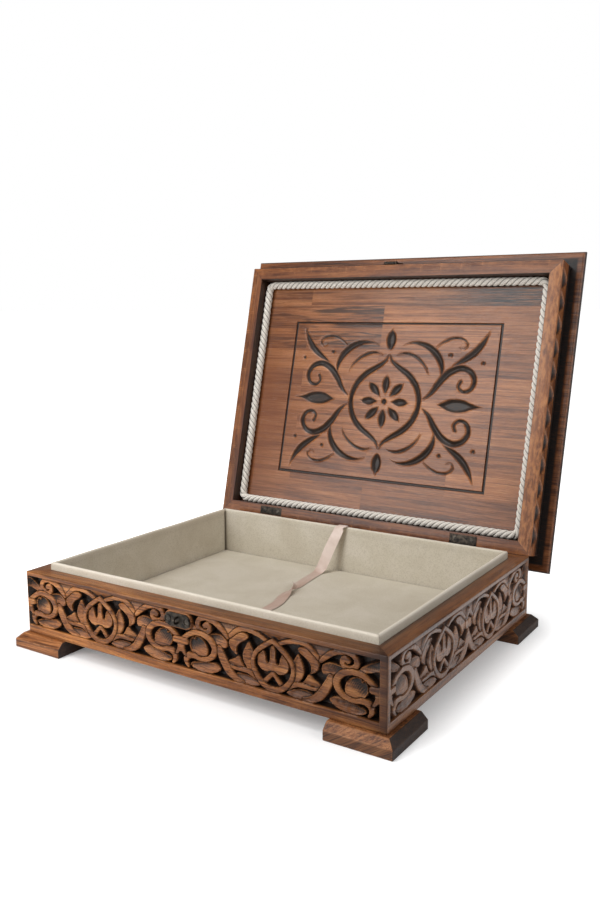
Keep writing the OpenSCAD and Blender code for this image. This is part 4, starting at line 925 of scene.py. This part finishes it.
def worn_block(name, rings, home, material, grain, shade, stands_for, bevel, cuts=3, rub=0.6):
    """A block from rings of four corners, from low to high, with soft worn edges."""
    work = bmesh.new()
    worn = work.verts.layers.float.new("wear")
    loops = [[work.verts.new(p) for p in ring] for ring in rings]
    work.faces.new(loops[0][::-1])
    work.faces.new(loops[-1])
    for a, b in zip(loops, loops[1:]):
        for k in range(4):
            work.faces.new((a[k], a[(k + 1) % 4], b[(k + 1) % 4], b[k]))
    bmesh.ops.recalc_face_normals(work, faces=work.faces)
    true_edges = [e for e in work.edges if e.calc_face_angle(0.0) > TRUE_ANGLE]
    made = bmesh.ops.bevel(work, geom=true_edges, offset=bevel, segments=3, profile=0.5, affect="EDGES",
                           clamp_overlap=True)
    rounded = set(made["faces"])
    flats = [f for f in work.faces if f not in rounded]
    for f in rounded:
        for v in f.verts:
            v[worn] = rub
    bmesh.ops.inset_individual(work, faces=flats, thickness=FLAT_INSET)
    for f in flats:
        for v in f.verts:
            v[worn] = 0.0
    long_edges = [e for e in work.edges if e.calc_length() > LONG_EDGE]
    bmesh.ops.subdivide_edges(work, edges=long_edges, cuts=cuts, use_grid_fill=True)
    bmesh.ops.triangulate(work, faces=[f for f in work.faces if len(f.verts) > 4])
    points = np.array([v.co for v in work.verts])
    wear = np.array([v[worn] for v in work.verts])
    work.verts.index_update()
    faces = [[v.index for v in f.verts] for f in work.faces]
    work.free()
    fields = {"wear": wear, "depth": shade(points), "grain": grain(points)}
    return make_piece(name, points, faces, home, material, fields, stands_for, sharp=30)


print("blocks can be worn")

# %% Feet
FOOT, FOOT_OUT, FOOT_LEDGE, FOOT_DROP, FOOT_BEVEL = 52.0, 8.0, 3.0, 5.0, 0.5
FOOT_SCREWS, SCREW_HEAD_R, SCREW_SINK = ((140.0, 128.5), (166.0, 102.5)), 3.25, 1.0
FOOT_LEAN, UPRIGHT = FOOT_OUT - FOOT_LEDGE, FOOT_H - FOOT_DROP
# How dark the feet are painted: end faces as end grain and shade, then painted shade on upright faces, lean
# and right feet.
END_DARK, SIDE_DARK, TOP_DARK, RIGHT_DARK, ON_FACE = 0.62, 0.22, 0.08, 0.20, 0.3


def foot_rings(sx, sy):
    x1, y1 = sx * (BOX_W / 2 + FOOT_OUT), sy * (BOX_D / 2 + FOOT_OUT)
    x0, y0 = x1 - sx * FOOT, y1 - sy * FOOT
    rings = []
    for z, inset in ((0, 0), (UPRIGHT, 0), (FOOT_H, FOOT_LEAN)):
        xi, yi = x1 - sx * inset, y1 - sy * inset
        rings.append([(x0, y0, z), (xi, y0, z), (xi, yi, z), (x0, yi, z)])
    return rings


def end_grain_and_shade(sx):
    """Near black on a foot's two faces that look along x and on the lean above them: end grain and painted
    shade.
    """
    def shade(p):
        x1 = sx * (BOX_W / 2 + FOOT_OUT)
        lean = FOOT_LEAN * np.clip((p[:, 2] - UPRIGHT) / FOOT_DROP, 0, 1)
        outer = np.abs(p[:, 0] - (x1 - sx * lean)) < ON_FACE
        inner = np.abs(p[:, 0] - x1 + sx * FOOT) < ON_FACE
        # Painted shade: more on the upright faces than on the lean, and more on the right feet.
        plain = np.where(p[:, 2] < UPRIGHT - 0.2, SIDE_DARK, TOP_DARK) + (RIGHT_DARK if sx > 0 else 0.0)
        return np.where(outer | inner, END_DARK, plain)
    return shade


def foot_grain(sx, sy):
    """Straight grain along the left feet, and a slanting cut in the right ones."""
    slant = 0.5 if sx > 0 else 0.03
    shift = 60 * (sx + 3 * sy)
    return lambda p: np.c_[p[:, 0] * 0.82 + p[:, 2] * 1.8 * slant + shift, p[:, 2] * 0.8 - p[:, 0] * slant,
                           p[:, 1] * 0.5]


for sy, row_name in ((-1, "front"), (1, "back")):
    for sx, col_name in ((-1, "left"), (1, "right")):
        name = f"foot_{row_name}_{col_name}"
        foot = worn_block("block_" + name, foot_rings(sx, sy), BOX, foot_wood, foot_grain(sx, sy),
                          end_grain_and_shade(sx), name, FOOT_BEVEL)
        for x, y in FOOT_SCREWS:
            hole_at = box_frame @ Matrix.Translation((sx * x, sy * y, 0))
            cut_away(foot, drill(SCREW_HEAD_R, 2 * SCREW_SINK + 0.04), hole_at)
print("four feet, each drilled for", len(FOOT_SCREWS), "screws")

# %% [markdown]
# ## Lid board
# The board over the frame is wider than the box. Only its edge and a strip of its underside show when the
# lid stands open. Its edges are painted nearly black as shade, and its underside beside the rails as their
# shadow.

# %% Lid board
BOARD_T, BOARD_OUT, BOARD_END_OUT, BOARD_TOP, BOARD_LOW, BOARD_BEVEL = 9.0, 14.0, 11.5, 5.0, 2.0, 0.4
BOARD_Z = LID_Z + RAIL_H
board_x, board_y = BOX_W / 2 + BOARD_END_OUT, BOX_D / 2 + BOARD_OUT
# Height above the rails and distance in from the edge
BOARD_STEPS = ((0, 12.5), (0, 8.0), (0, 4.5), (0, BOARD_LOW), (BOARD_LOW, 0), (BOARD_T - BOARD_TOP, 0),
               (BOARD_T, BOARD_TOP))
BOARD_BARE, BOARD_RIM, RIM_DARK = 4.5, 1.2, 0.6
board_rings = [[(sx * (board_x - inset), sy * (board_y - inset), BOARD_Z + z) for sx, sy in CORNERS]
               for z, inset in BOARD_STEPS]


def board_shade(p):
    """Black painted shade along the outer edge, a painted shadow beside the rails, plain brown between and on
    top.
    """
    gap = np.minimum(board_x - np.abs(p[:, 0]), board_y - np.abs(p[:, 1]))
    corner = np.where(p[:, 2] < BOARD_Z + 0.1, np.clip((gap - BOARD_BARE) / BOARD_BARE, 0, 1), 0.0)
    rim = (gap < BOARD_RIM) & (p[:, 2] < BOARD_Z + BOARD_T - 1)
    return np.maximum(corner, np.where(rim, RIM_DARK, 0.0))


def board_grain(p):
    return np.c_[p[:, 0] + 300, p[:, 1], p[:, 2]]


worn_block("wide_lid_top_board", board_rings, LID, board_wood, board_grain, board_shade, "lid_top_board",
           BOARD_BEVEL, cuts=6, rub=0.25)
print("lid board", 2 * board_x, "by", 2 * board_y)

# %% [markdown]
# ## Suede
# The tray is board wrapped in beige suede, padded a little, with a soft lip that stands above the wooden
# rim. Suede has no shine of its own. Its look comes from a fine nap that catches light in patches, so the
# finish is rough with some sheen, and its colour moves with a slow noise where the nap was brushed one way
# or the other.

# %% Suede material
def suede_finish():
    r = Recipe("tray_suede")
    at = r.field("grain", vector=True)
    brushed = r.noise(at, (0.03, 0.03, 0.03), 4.0, 0.6, 0.6)
    nap = r.noise(at, (1.1, 1.1, 1.1), 3.0, 0.6)
    tone = r.ramp(brushed, [(0.34, srgb(198, 189, 171)), (0.52, srgb(205, 197, 180)),
                            (0.70, srgb(211, 203, 188))])
    tone = r.mix(r.spread(nap, 0.55, 0.35, 0.0, 0.30), tone, srgb(150, 137, 115))
    # The lip's wear value paints it lighter, as rubbed cloth and as a highlight.
    tone = r.mix(r.math("MULTIPLY", r.field("wear"), 0.6), tone, srgb(216, 206, 192))
    # Painted shade in creases and along edges, and dirt where the lip is handled, darken the cloth.
    tone = r.mix(r.field("depth"), tone, srgb(104, 90, 72))
    return r.finish(Base_Color=tone, Roughness=0.95, Specular_IOR_Level=0.15, Sheen_Weight=0.35,
                    Sheen_Roughness=0.5, Sheen_Tint=srgb(230, 222, 208), Normal=r.bump(nap, 0.25, 0.0005))


suede = suede_finish()
print("suede mixed")

# %% [markdown]
# ## Tray sides
# Each side is one profile, swept along the tray and mitred at its ends: a flat outer face, a round lip and
# a padded inner face. The cloth is pulled into the corners, which leaves an upright crease there, painted
# darker as shade. The crease and the slight waviness are moves of the points, because a cloth simulation
# on so thin a pad changes little. The lip's top is painted lighter, as rubbed cloth and as a highlight.

# %% Tray sides
TRAY_W, TRAY_D, TRAY_T, TRAY_Z, TRAY_TOP, TRAY_FLOOR = 311.0, 236.0, 3.2, 24.0, 71.5, 4.4
CREASE_W, CREASE_DEEP, PAD_WAVE, LIP_SAG, LIP_DROP = 1.6, 0.5, 0.16, 0.22, 0.25
LIP_LIGHT_FROM, LIP_LIGHT_OVER, HANDLED_W, FOLD_AT, FOLD_W = 4.2, 3.0, 1.2, 5.4, 0.7
lip_r = TRAY_T / 2
lip_z = TRAY_TOP - lip_r
arc = np.linspace(np.pi, 0, 13)
# Distance in from the outer face, and height
profile = np.vstack([np.c_[np.zeros(6), np.linspace(TRAY_Z, lip_z - 2, 6)],
                     np.c_[lip_r + lip_r * np.cos(arc), lip_z + lip_r * np.sin(arc)],
                     np.c_[np.full(16, TRAY_T), np.linspace(lip_z - 1.5, TRAY_Z, 16)]])
along = np.r_[np.linspace(-1, -0.9, 14)[:-1], np.linspace(-0.9, 0.9, 90), np.linspace(0.9, 1, 14)[1:]]


def tray_side(side, name):
    length = TRAY_W if side % 2 == 0 else TRAY_D
    points, wear, shade = [], [], []
    for d, z in profile:
        reach = length / 2 - d
        u = along * reach
        gap = reach - np.abs(u)
        pad = np.clip(d / TRAY_T, 0, 1) * (z < lip_z)
        crease = np.exp(-(gap / CREASE_W) ** 2)
        wave = pad * (PAD_WAVE * (ripple(u, z, size=70, seed=20 + side) - 1) - CREASE_DEEP * crease)
        sag = LIP_SAG * ripple(u, 0.0, size=110, seed=30 + side) * np.clip((z - TRAY_TOP + 6) / 6, 0, 1)
        points.append(np.c_[u, d + wave, z + sag - LIP_DROP])
        # The lip's top is painted lighter, as rubbing and as a highlight, less on the back.
        high = np.clip((z - (TRAY_TOP - LIP_LIGHT_FROM)) / LIP_LIGHT_OVER, 0, 1)
        wear.append(np.full(u.shape, high * (0.3 if side == 2 else 1.0)))
        handled = 0.35 * high * np.exp(-(gap / HANDLED_W) ** 2)
        fold = 0.18 * np.exp(-((z - TRAY_TOP + FOLD_AT) / FOLD_W) ** 2)
        # Painted shade in the corner creases, dirt where the lip's corners are handled, and a darker line
        # along the fold.
        shade.append(np.clip(0.55 * crease * pad, 0, 1) + handled + fold)
    rows, cols = len(profile), len(along)
    at = np.arange(rows * cols).reshape(rows, cols)
    faces = grid_faces(rows, cols) + np.c_[at[-1, :-1], at[-1, 1:], at[0, 1:], at[0, :-1]].tolist()
    faces += [list(at[:, 0]), list(at[::-1, -1])]
    placed = turned(np.vstack(points), side, TRAY_W, TRAY_D, 0)
    fields = {"wear": np.concatenate(wear), "depth": np.concatenate(shade), "grain": placed}
    made = make_piece("suede_" + name, placed, faces, BOX, suede, fields, name, sharp=70)


for side, name in enumerate(("tray_front", "tray_right", "tray_back", "tray_left")):
    tray_side(side, name)
print("four padded sides")

# %% [markdown]
# ## Tray floor
# The floor is a thin pad that sits between the sides, crowned a little and drawn down along its edges.

# %% Tray floor
FLOOR_PLAY = 0.5
floor_w, floor_d = (size - 2 * TRAY_T - FLOOR_PLAY for size in (TRAY_W, TRAY_D))
X, Y = np.meshgrid(np.linspace(-floor_w / 2, floor_w / 2, 90), np.linspace(-floor_d / 2, floor_d / 2, 70))
edge_gap = np.minimum(floor_w / 2 - np.abs(X), floor_d / 2 - np.abs(Y))
pad_top = TRAY_Z + TRAY_FLOOR - 1.4 * np.exp(-edge_gap / 2.5) - 0.15 + 0.13 * ripple(X, Y, size=90, seed=41)
points, faces, hidden = slab(X, Y, pad_top, TRAY_Z)
# Painted shade along the pad's edges, where it meets the sides, and the whole pad a little darker.
floor_shade = 0.15 + 0.4 * np.exp(-edge_gap.ravel() / 2.0)
floor_pad = make_piece("suede_tray_floor", points, faces, BOX, suede, {
    "wear": np.zeros(len(points)), "depth": np.r_[floor_shade, np.zeros(hidden)], "grain": points},
    "tray_floor", sharp=60)
print("floor pad", round(floor_w, 1), "by", round(floor_d, 1), "mm")

# %% [markdown]
# ## Lift ribbon
# A narrow satin ribbon is tucked over the back of the tray, slants down to the floor and runs forward
# along it. It is one strip of cloth, so it is built flat across and bent along its way, with half a turn
# where it has flipped over. The points repeat the solid's own route, lifted where the ribbon stands on edge.

# %% Ribbon
RIBBON_W, RIBBON_CROWN, LANES, LAID_Y, LAID_Z = 10.0, 0.25, 9, 90.0, 28.75
SHADE_FROM, SHADE_OVER, SHADE_MOST = 46, 14, 0.7
# x, y, z and the roll in degrees
RIBBON = [(-9, 117.6, 72.1, 0), (-9, 114.6, 72.1, 0), (-10.2, 112.4, 71.3, 8), (-11.6, 110.0, 66.5, 38),
          (-16.5, 103.2, 51, 58), (-20.4, 97.0, 36.0, 44), (-22.6, 92.6, 30.2, 12), (-23, 88, 29.0, 0),
          (-21.2, 71.8, 29.0, 0), (-18.8, 53.8, 29.0, 6), (-16.2, 42, 30.4, 60), (-14.4, 32, 31.2, 125),
          (-12.4, 20, 29.3, 174), (-8.6, 8, 29.0, 180), (-5.2, -6, 29.0, 180), (-4.8, -40, 29.0, 180),
          (-4.8, -90, 29.0, 180)]


def satin_finish():
    r = Recipe("ribbon_satin")
    thread = r.field("grain", vector=True)
    weave = r.noise(thread, (0.15, 5.0, 1.0), 2.0, 0.5)
    fade = r.noise(thread, (0.05, 0.05, 1.0), 3.0, 0.5)
    tone = r.ramp(fade, [(0.35, srgb(204, 182, 168)), (0.6, srgb(228, 210, 199))])
    # Painted shade where the ribbon lies on the floor.
    tone = r.mix(r.field("depth"), tone, srgb(158, 122, 102))
    return r.finish(Base_Color=tone, Roughness=0.38, Sheen_Weight=0.3, Specular_IOR_Level=0.5,
                    Normal=r.bump(weave, 0.2, 0.0002))


way = smooth_path(RIBBON, steps=7)
mid, roll = way[:, :3], np.radians(way[:, 3:])
forward = unit(np.gradient(mid, axis=0))
across = unit(np.cross(forward, (0.0, 0.0, 1.0)))
lift = np.cross(across, forward)
wide = across * np.cos(roll) + lift * np.sin(roll)
out = -across * np.sin(roll) + lift * np.cos(roll)
lanes = np.linspace(-1, 1, LANES)
strip = np.stack([mid + wide * (RIBBON_W / 2 * s) + out * (RIBBON_CROWN * (1 - s * s)) for s in lanes], 1)
on_floor = mid[:, 1] < LAID_Y
strip[on_floor, :, 2] = np.maximum(strip[on_floor, :, 2], LAID_Z)
run_length = run_along(mid)
rows = len(run_length)
# Painted shade darkens the ribbon from where it lies on the floor.
laid = np.clip((run_length - SHADE_FROM) / SHADE_OVER, 0, SHADE_MOST)
thread = np.c_[np.repeat(run_length, LANES), np.tile(lanes * RIBBON_W / 2, rows), np.zeros(rows * LANES)]
fields = {"depth": np.repeat(laid, LANES), "grain": thread}
ribbon = make_piece("satin_lift_ribbon", strip.reshape(-1, 3), grid_faces(rows, LANES), BOX, satin_finish(),
                    fields, "lift_ribbon", sharp=80)
print("ribbon", round(float(run_length[-1]), 1), "mm long")

# %% [markdown]
# ## Rope trim
# A cream rope is glued into the corner between panel and rails. It is laid from three strands that turn
# round each other. A curve with a round bevel would give a smooth tube. Three tubes on helices give the
# twist from every side, and painted shade darkens where the strands meet.

# %% Rope path
ROPE_R, ROPE_PLAY, ROPE_BEND, ROPE_PITCH, ROPE_STEP = 4.0, 0.1, 6.0, 18.6, 1.3
BEND_POINTS, BEND_ORDER = 13, [(1, 1), (-1, 1), (-1, -1), (1, -1)]
rope_in = ROPE_R + ROPE_PLAY
rope_z = PANEL_Z - rope_in
bend_at = np.array([size / 2 - RAIL_T - rope_in - ROPE_BEND for size in (BOX_W, BOX_D)])
# A rectangle with round corners, its outward directions, and the length run along it
bend_angle = np.radians((90 * np.arange(4)[:, None] + np.linspace(0, 90, BEND_POINTS)).ravel())
outs = np.c_[np.cos(bend_angle), np.sin(bend_angle)]
spots = np.repeat(BEND_ORDER, BEND_POINTS, axis=0) * bend_at + ROPE_BEND * outs
loop = np.vstack([np.c_[spots, outs], np.r_[spots[0], outs[0]]])
run = run_along(loop[:, :2])
rope_len = run[-1]
rope_s = np.linspace(0, rope_len, int(rope_len / ROPE_STEP) + 1)[:-1]
even = np.stack([np.interp(rope_s, run, column) for column in loop.T], 1)
rope_mid, rope_out = even[:, :2], unit(even[:, 2:])
rope_turns = round(rope_len / ROPE_PITCH)
print("rope", round(rope_len), "mm round,", rope_turns, "turns")

# %% Rope material
def rope_finish():
    r = Recipe("cream_rope")
    at = r.field("grain", vector=True)
    yarn = r.add("TexWave", 1, {"wave_type": "BANDS", "bands_direction": "Y"},
                 Vector=r.place(at, (0.05, 0.27, 1.0)), Scale=1.0, Distortion=1.0, Detail=2.0)
    fuzz = r.noise(at, (0.5, 1.6, 1.0), 4.0, 0.65)
    tone = r.ramp(fuzz, [(0.32, srgb(218, 209, 197)), (0.5, srgb(242, 235, 225)),
                         (0.68, srgb(250, 246, 238))])
    tone = r.mix(r.spread(yarn, 0.45, 0.1, 0.0, 0.40), tone, srgb(150, 138, 122))
    # Painted shade where the strands meet.
    tone = r.mix(r.field("depth"), tone, srgb(40, 31, 26))
    return r.finish(Base_Color=tone, Roughness=0.8, Specular_IOR_Level=0.2, Sheen_Weight=0.2,
                    Normal=r.bump(r.math("ADD", yarn, fuzz), 0.5, 0.0005))


print("rope finish ready")

# %% Rope strands
STRANDS, STRAND_R, STRAND_SIDES, STRAND_SHIFT, GAP_FROM = 3, 2.02, 16, 10.0, 0.5
n = len(rope_s)
around = 2 * np.pi * np.arange(STRAND_SIDES) / STRAND_SIDES
points, faces, grain = [], [], []
for k in range(STRANDS):
    phase = 2 * np.pi * (rope_turns * rope_s / rope_len + k / STRANDS)
    arm = np.c_[rope_out * np.cos(phase)[:, None], np.sin(phase)]
    centre = np.c_[rope_mid, np.full(n, rope_z)] + (ROPE_R - STRAND_R) * arm
    aside = unit(np.cross(np.roll(centre, -1, 0) - np.roll(centre, 1, 0), arm))
    wall = np.cos(around)[:, None] * arm[:, None] + np.sin(around)[:, None] * aside[:, None]
    points.append((centre[:, None] + STRAND_R * wall).reshape(-1, 3))
    faces += ring_faces(n, STRAND_SIDES, len(faces))
    grain.append(np.c_[np.repeat(rope_s, STRAND_SIDES), np.tile(around * STRAND_R, n),
                       np.full(n * STRAND_SIDES, STRAND_SHIFT * k)])
# Painted shade on the side of each strand that faces into the rope, in the gap between strands.
gap_shade = np.tile(np.clip((GAP_FROM - np.cos(around)) / GAP_FROM, 0, 1), STRANDS * n)
make_piece("laid_rope_trim", np.vstack(points), faces, LID, rope_finish(),
           {"depth": gap_shade, "grain": np.vstack(grain)}, "rope_trim", sharp=80)
print("rope of", STRANDS, "strands,", len(faces), "faces")

# %% [markdown]
# ## Metal and what stays as it was packed
# Hinges, catch and screws have the right shapes already. They only need an edge that isn't razor sharp,
# and an old brass finish, brown-black in some patches and lighter in others. The hidden bottom
# board gets plain dark wood.

# %% Metal finishes
OBJECT_PLACE = 3
TARNISH, SPECKS, UNDER_GRAIN = (350, 350, 350), (2200, 2200, 2200), (12, 350, 350)


def old_metal(name, dark, bright, rough):
    r = Recipe(name)
    at = r.add("TexCoord", OBJECT_PLACE)
    tarnish = r.noise(at, TARNISH, 5.0, 0.62, 0.4)
    specks = r.noise(at, SPECKS, 3.0, 0.6)
    tone = r.ramp(tarnish, [(0.38, dark), (0.62, bright)])
    tone = r.mix(r.spread(specks, 0.60, 0.72, 0.0, 0.6), tone, dark)
    gloss = r.spread(tarnish, 0.3, 0.7, rough + 0.14, rough - 0.06)
    return r.finish(Base_Color=tone, Metallic=0.75, Roughness=gloss, Normal=r.bump(specks, 0.25, 0.0002))


def plain_wood(name):
    r = Recipe(name)
    grain = r.noise(r.add("TexCoord", OBJECT_PLACE), UNDER_GRAIN, 5.0, 0.62, 0.5)
    tone = r.ramp(grain, [(0.35, srgb(66, 42, 30)), (0.52, srgb(104, 70, 50)), (0.68, srgb(132, 94, 68))])
    return r.finish(Base_Color=tone, Roughness=0.62, Normal=r.bump(grain, 0.25, 0.0004))


antique_brass = old_metal("antique_brass", srgb(17, 15, 14), srgb(62, 54, 45), 0.34)
screw_steel = old_metal("screw_steel", srgb(26, 24, 22), srgb(84, 77, 69), 0.36)
bottom_wood = plain_wood("bottom_wood")
print("two metals and a plain wood")

# %% Pieces kept as packed
SCREWS = ("foot_screws", "base_hinge_screws", "lid_hinge_screws", "staple_screws", "latch_screws")
SOFT_EDGE, SOFT_ANGLE = 0.00015, math.radians(50)
for name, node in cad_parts.items():
    if node.hide_render:
        continue
    slot, finish = "antique_brass", antique_brass
    if name in SCREWS:
        slot, finish = "screw_steel", screw_steel
    elif name == "bottom_board":
        slot, finish = "bottom_wood", bottom_wood
    else:
        soften = node.modifiers.new("soft_edge", "BEVEL")
        soften.width, soften.segments = SOFT_EDGE, 2
        soften.limit_method, soften.angle_limit = "ANGLE", SOFT_ANGLE
    node.data.materials.clear()
    node.data.materials.append(finish)
    print("kept", name, slot)

# %% [markdown]
# ## Beads round the latch screws
# Both latch plates are pressed from thin metal, with a raised bead round each screw that catches the light.
# A torus is the natural shape. It is written as a ring of rings, sunk a little into its plate.

# %% Latch beads
BEAD_R, BEAD_T, BEAD_X, LATCH_T, LATCH_UP = 2.75, 0.55, 9.0, 0.8, 6.9
BEAD_STEPS = (32, 12)


def bead_pair(name, z, home):
    circles = (np.linspace(0, 2 * np.pi, count + 1)[:-1] for count in BEAD_STEPS)
    about, tilt = np.meshgrid(*circles, indexing="ij")
    reach = BEAD_R + BEAD_T * np.cos(tilt)
    y = -BOX_D / 2 - LATCH_T - BEAD_T * np.sin(tilt)
    points, faces = [], []
    for sign in (-1, 1):
        x = LATCH_X + sign * BEAD_X + reach * np.cos(about)
        points.append(np.c_[x.ravel(), y.ravel(), (z + reach * np.sin(about)).ravel()])
        faces += ring_faces(*BEAD_STEPS, len(faces))
    make_piece(name, np.vstack(points), faces, home, antique_brass, sharp=80)


bead_pair("staple_beads", FOOT_H + STAPLE_V, BOX)
bead_pair("latch_beads", LID_Z + LATCH_UP, LID)
print("four beads")

# %% [markdown]
# ## Finish

# %% Finish
print("finished")
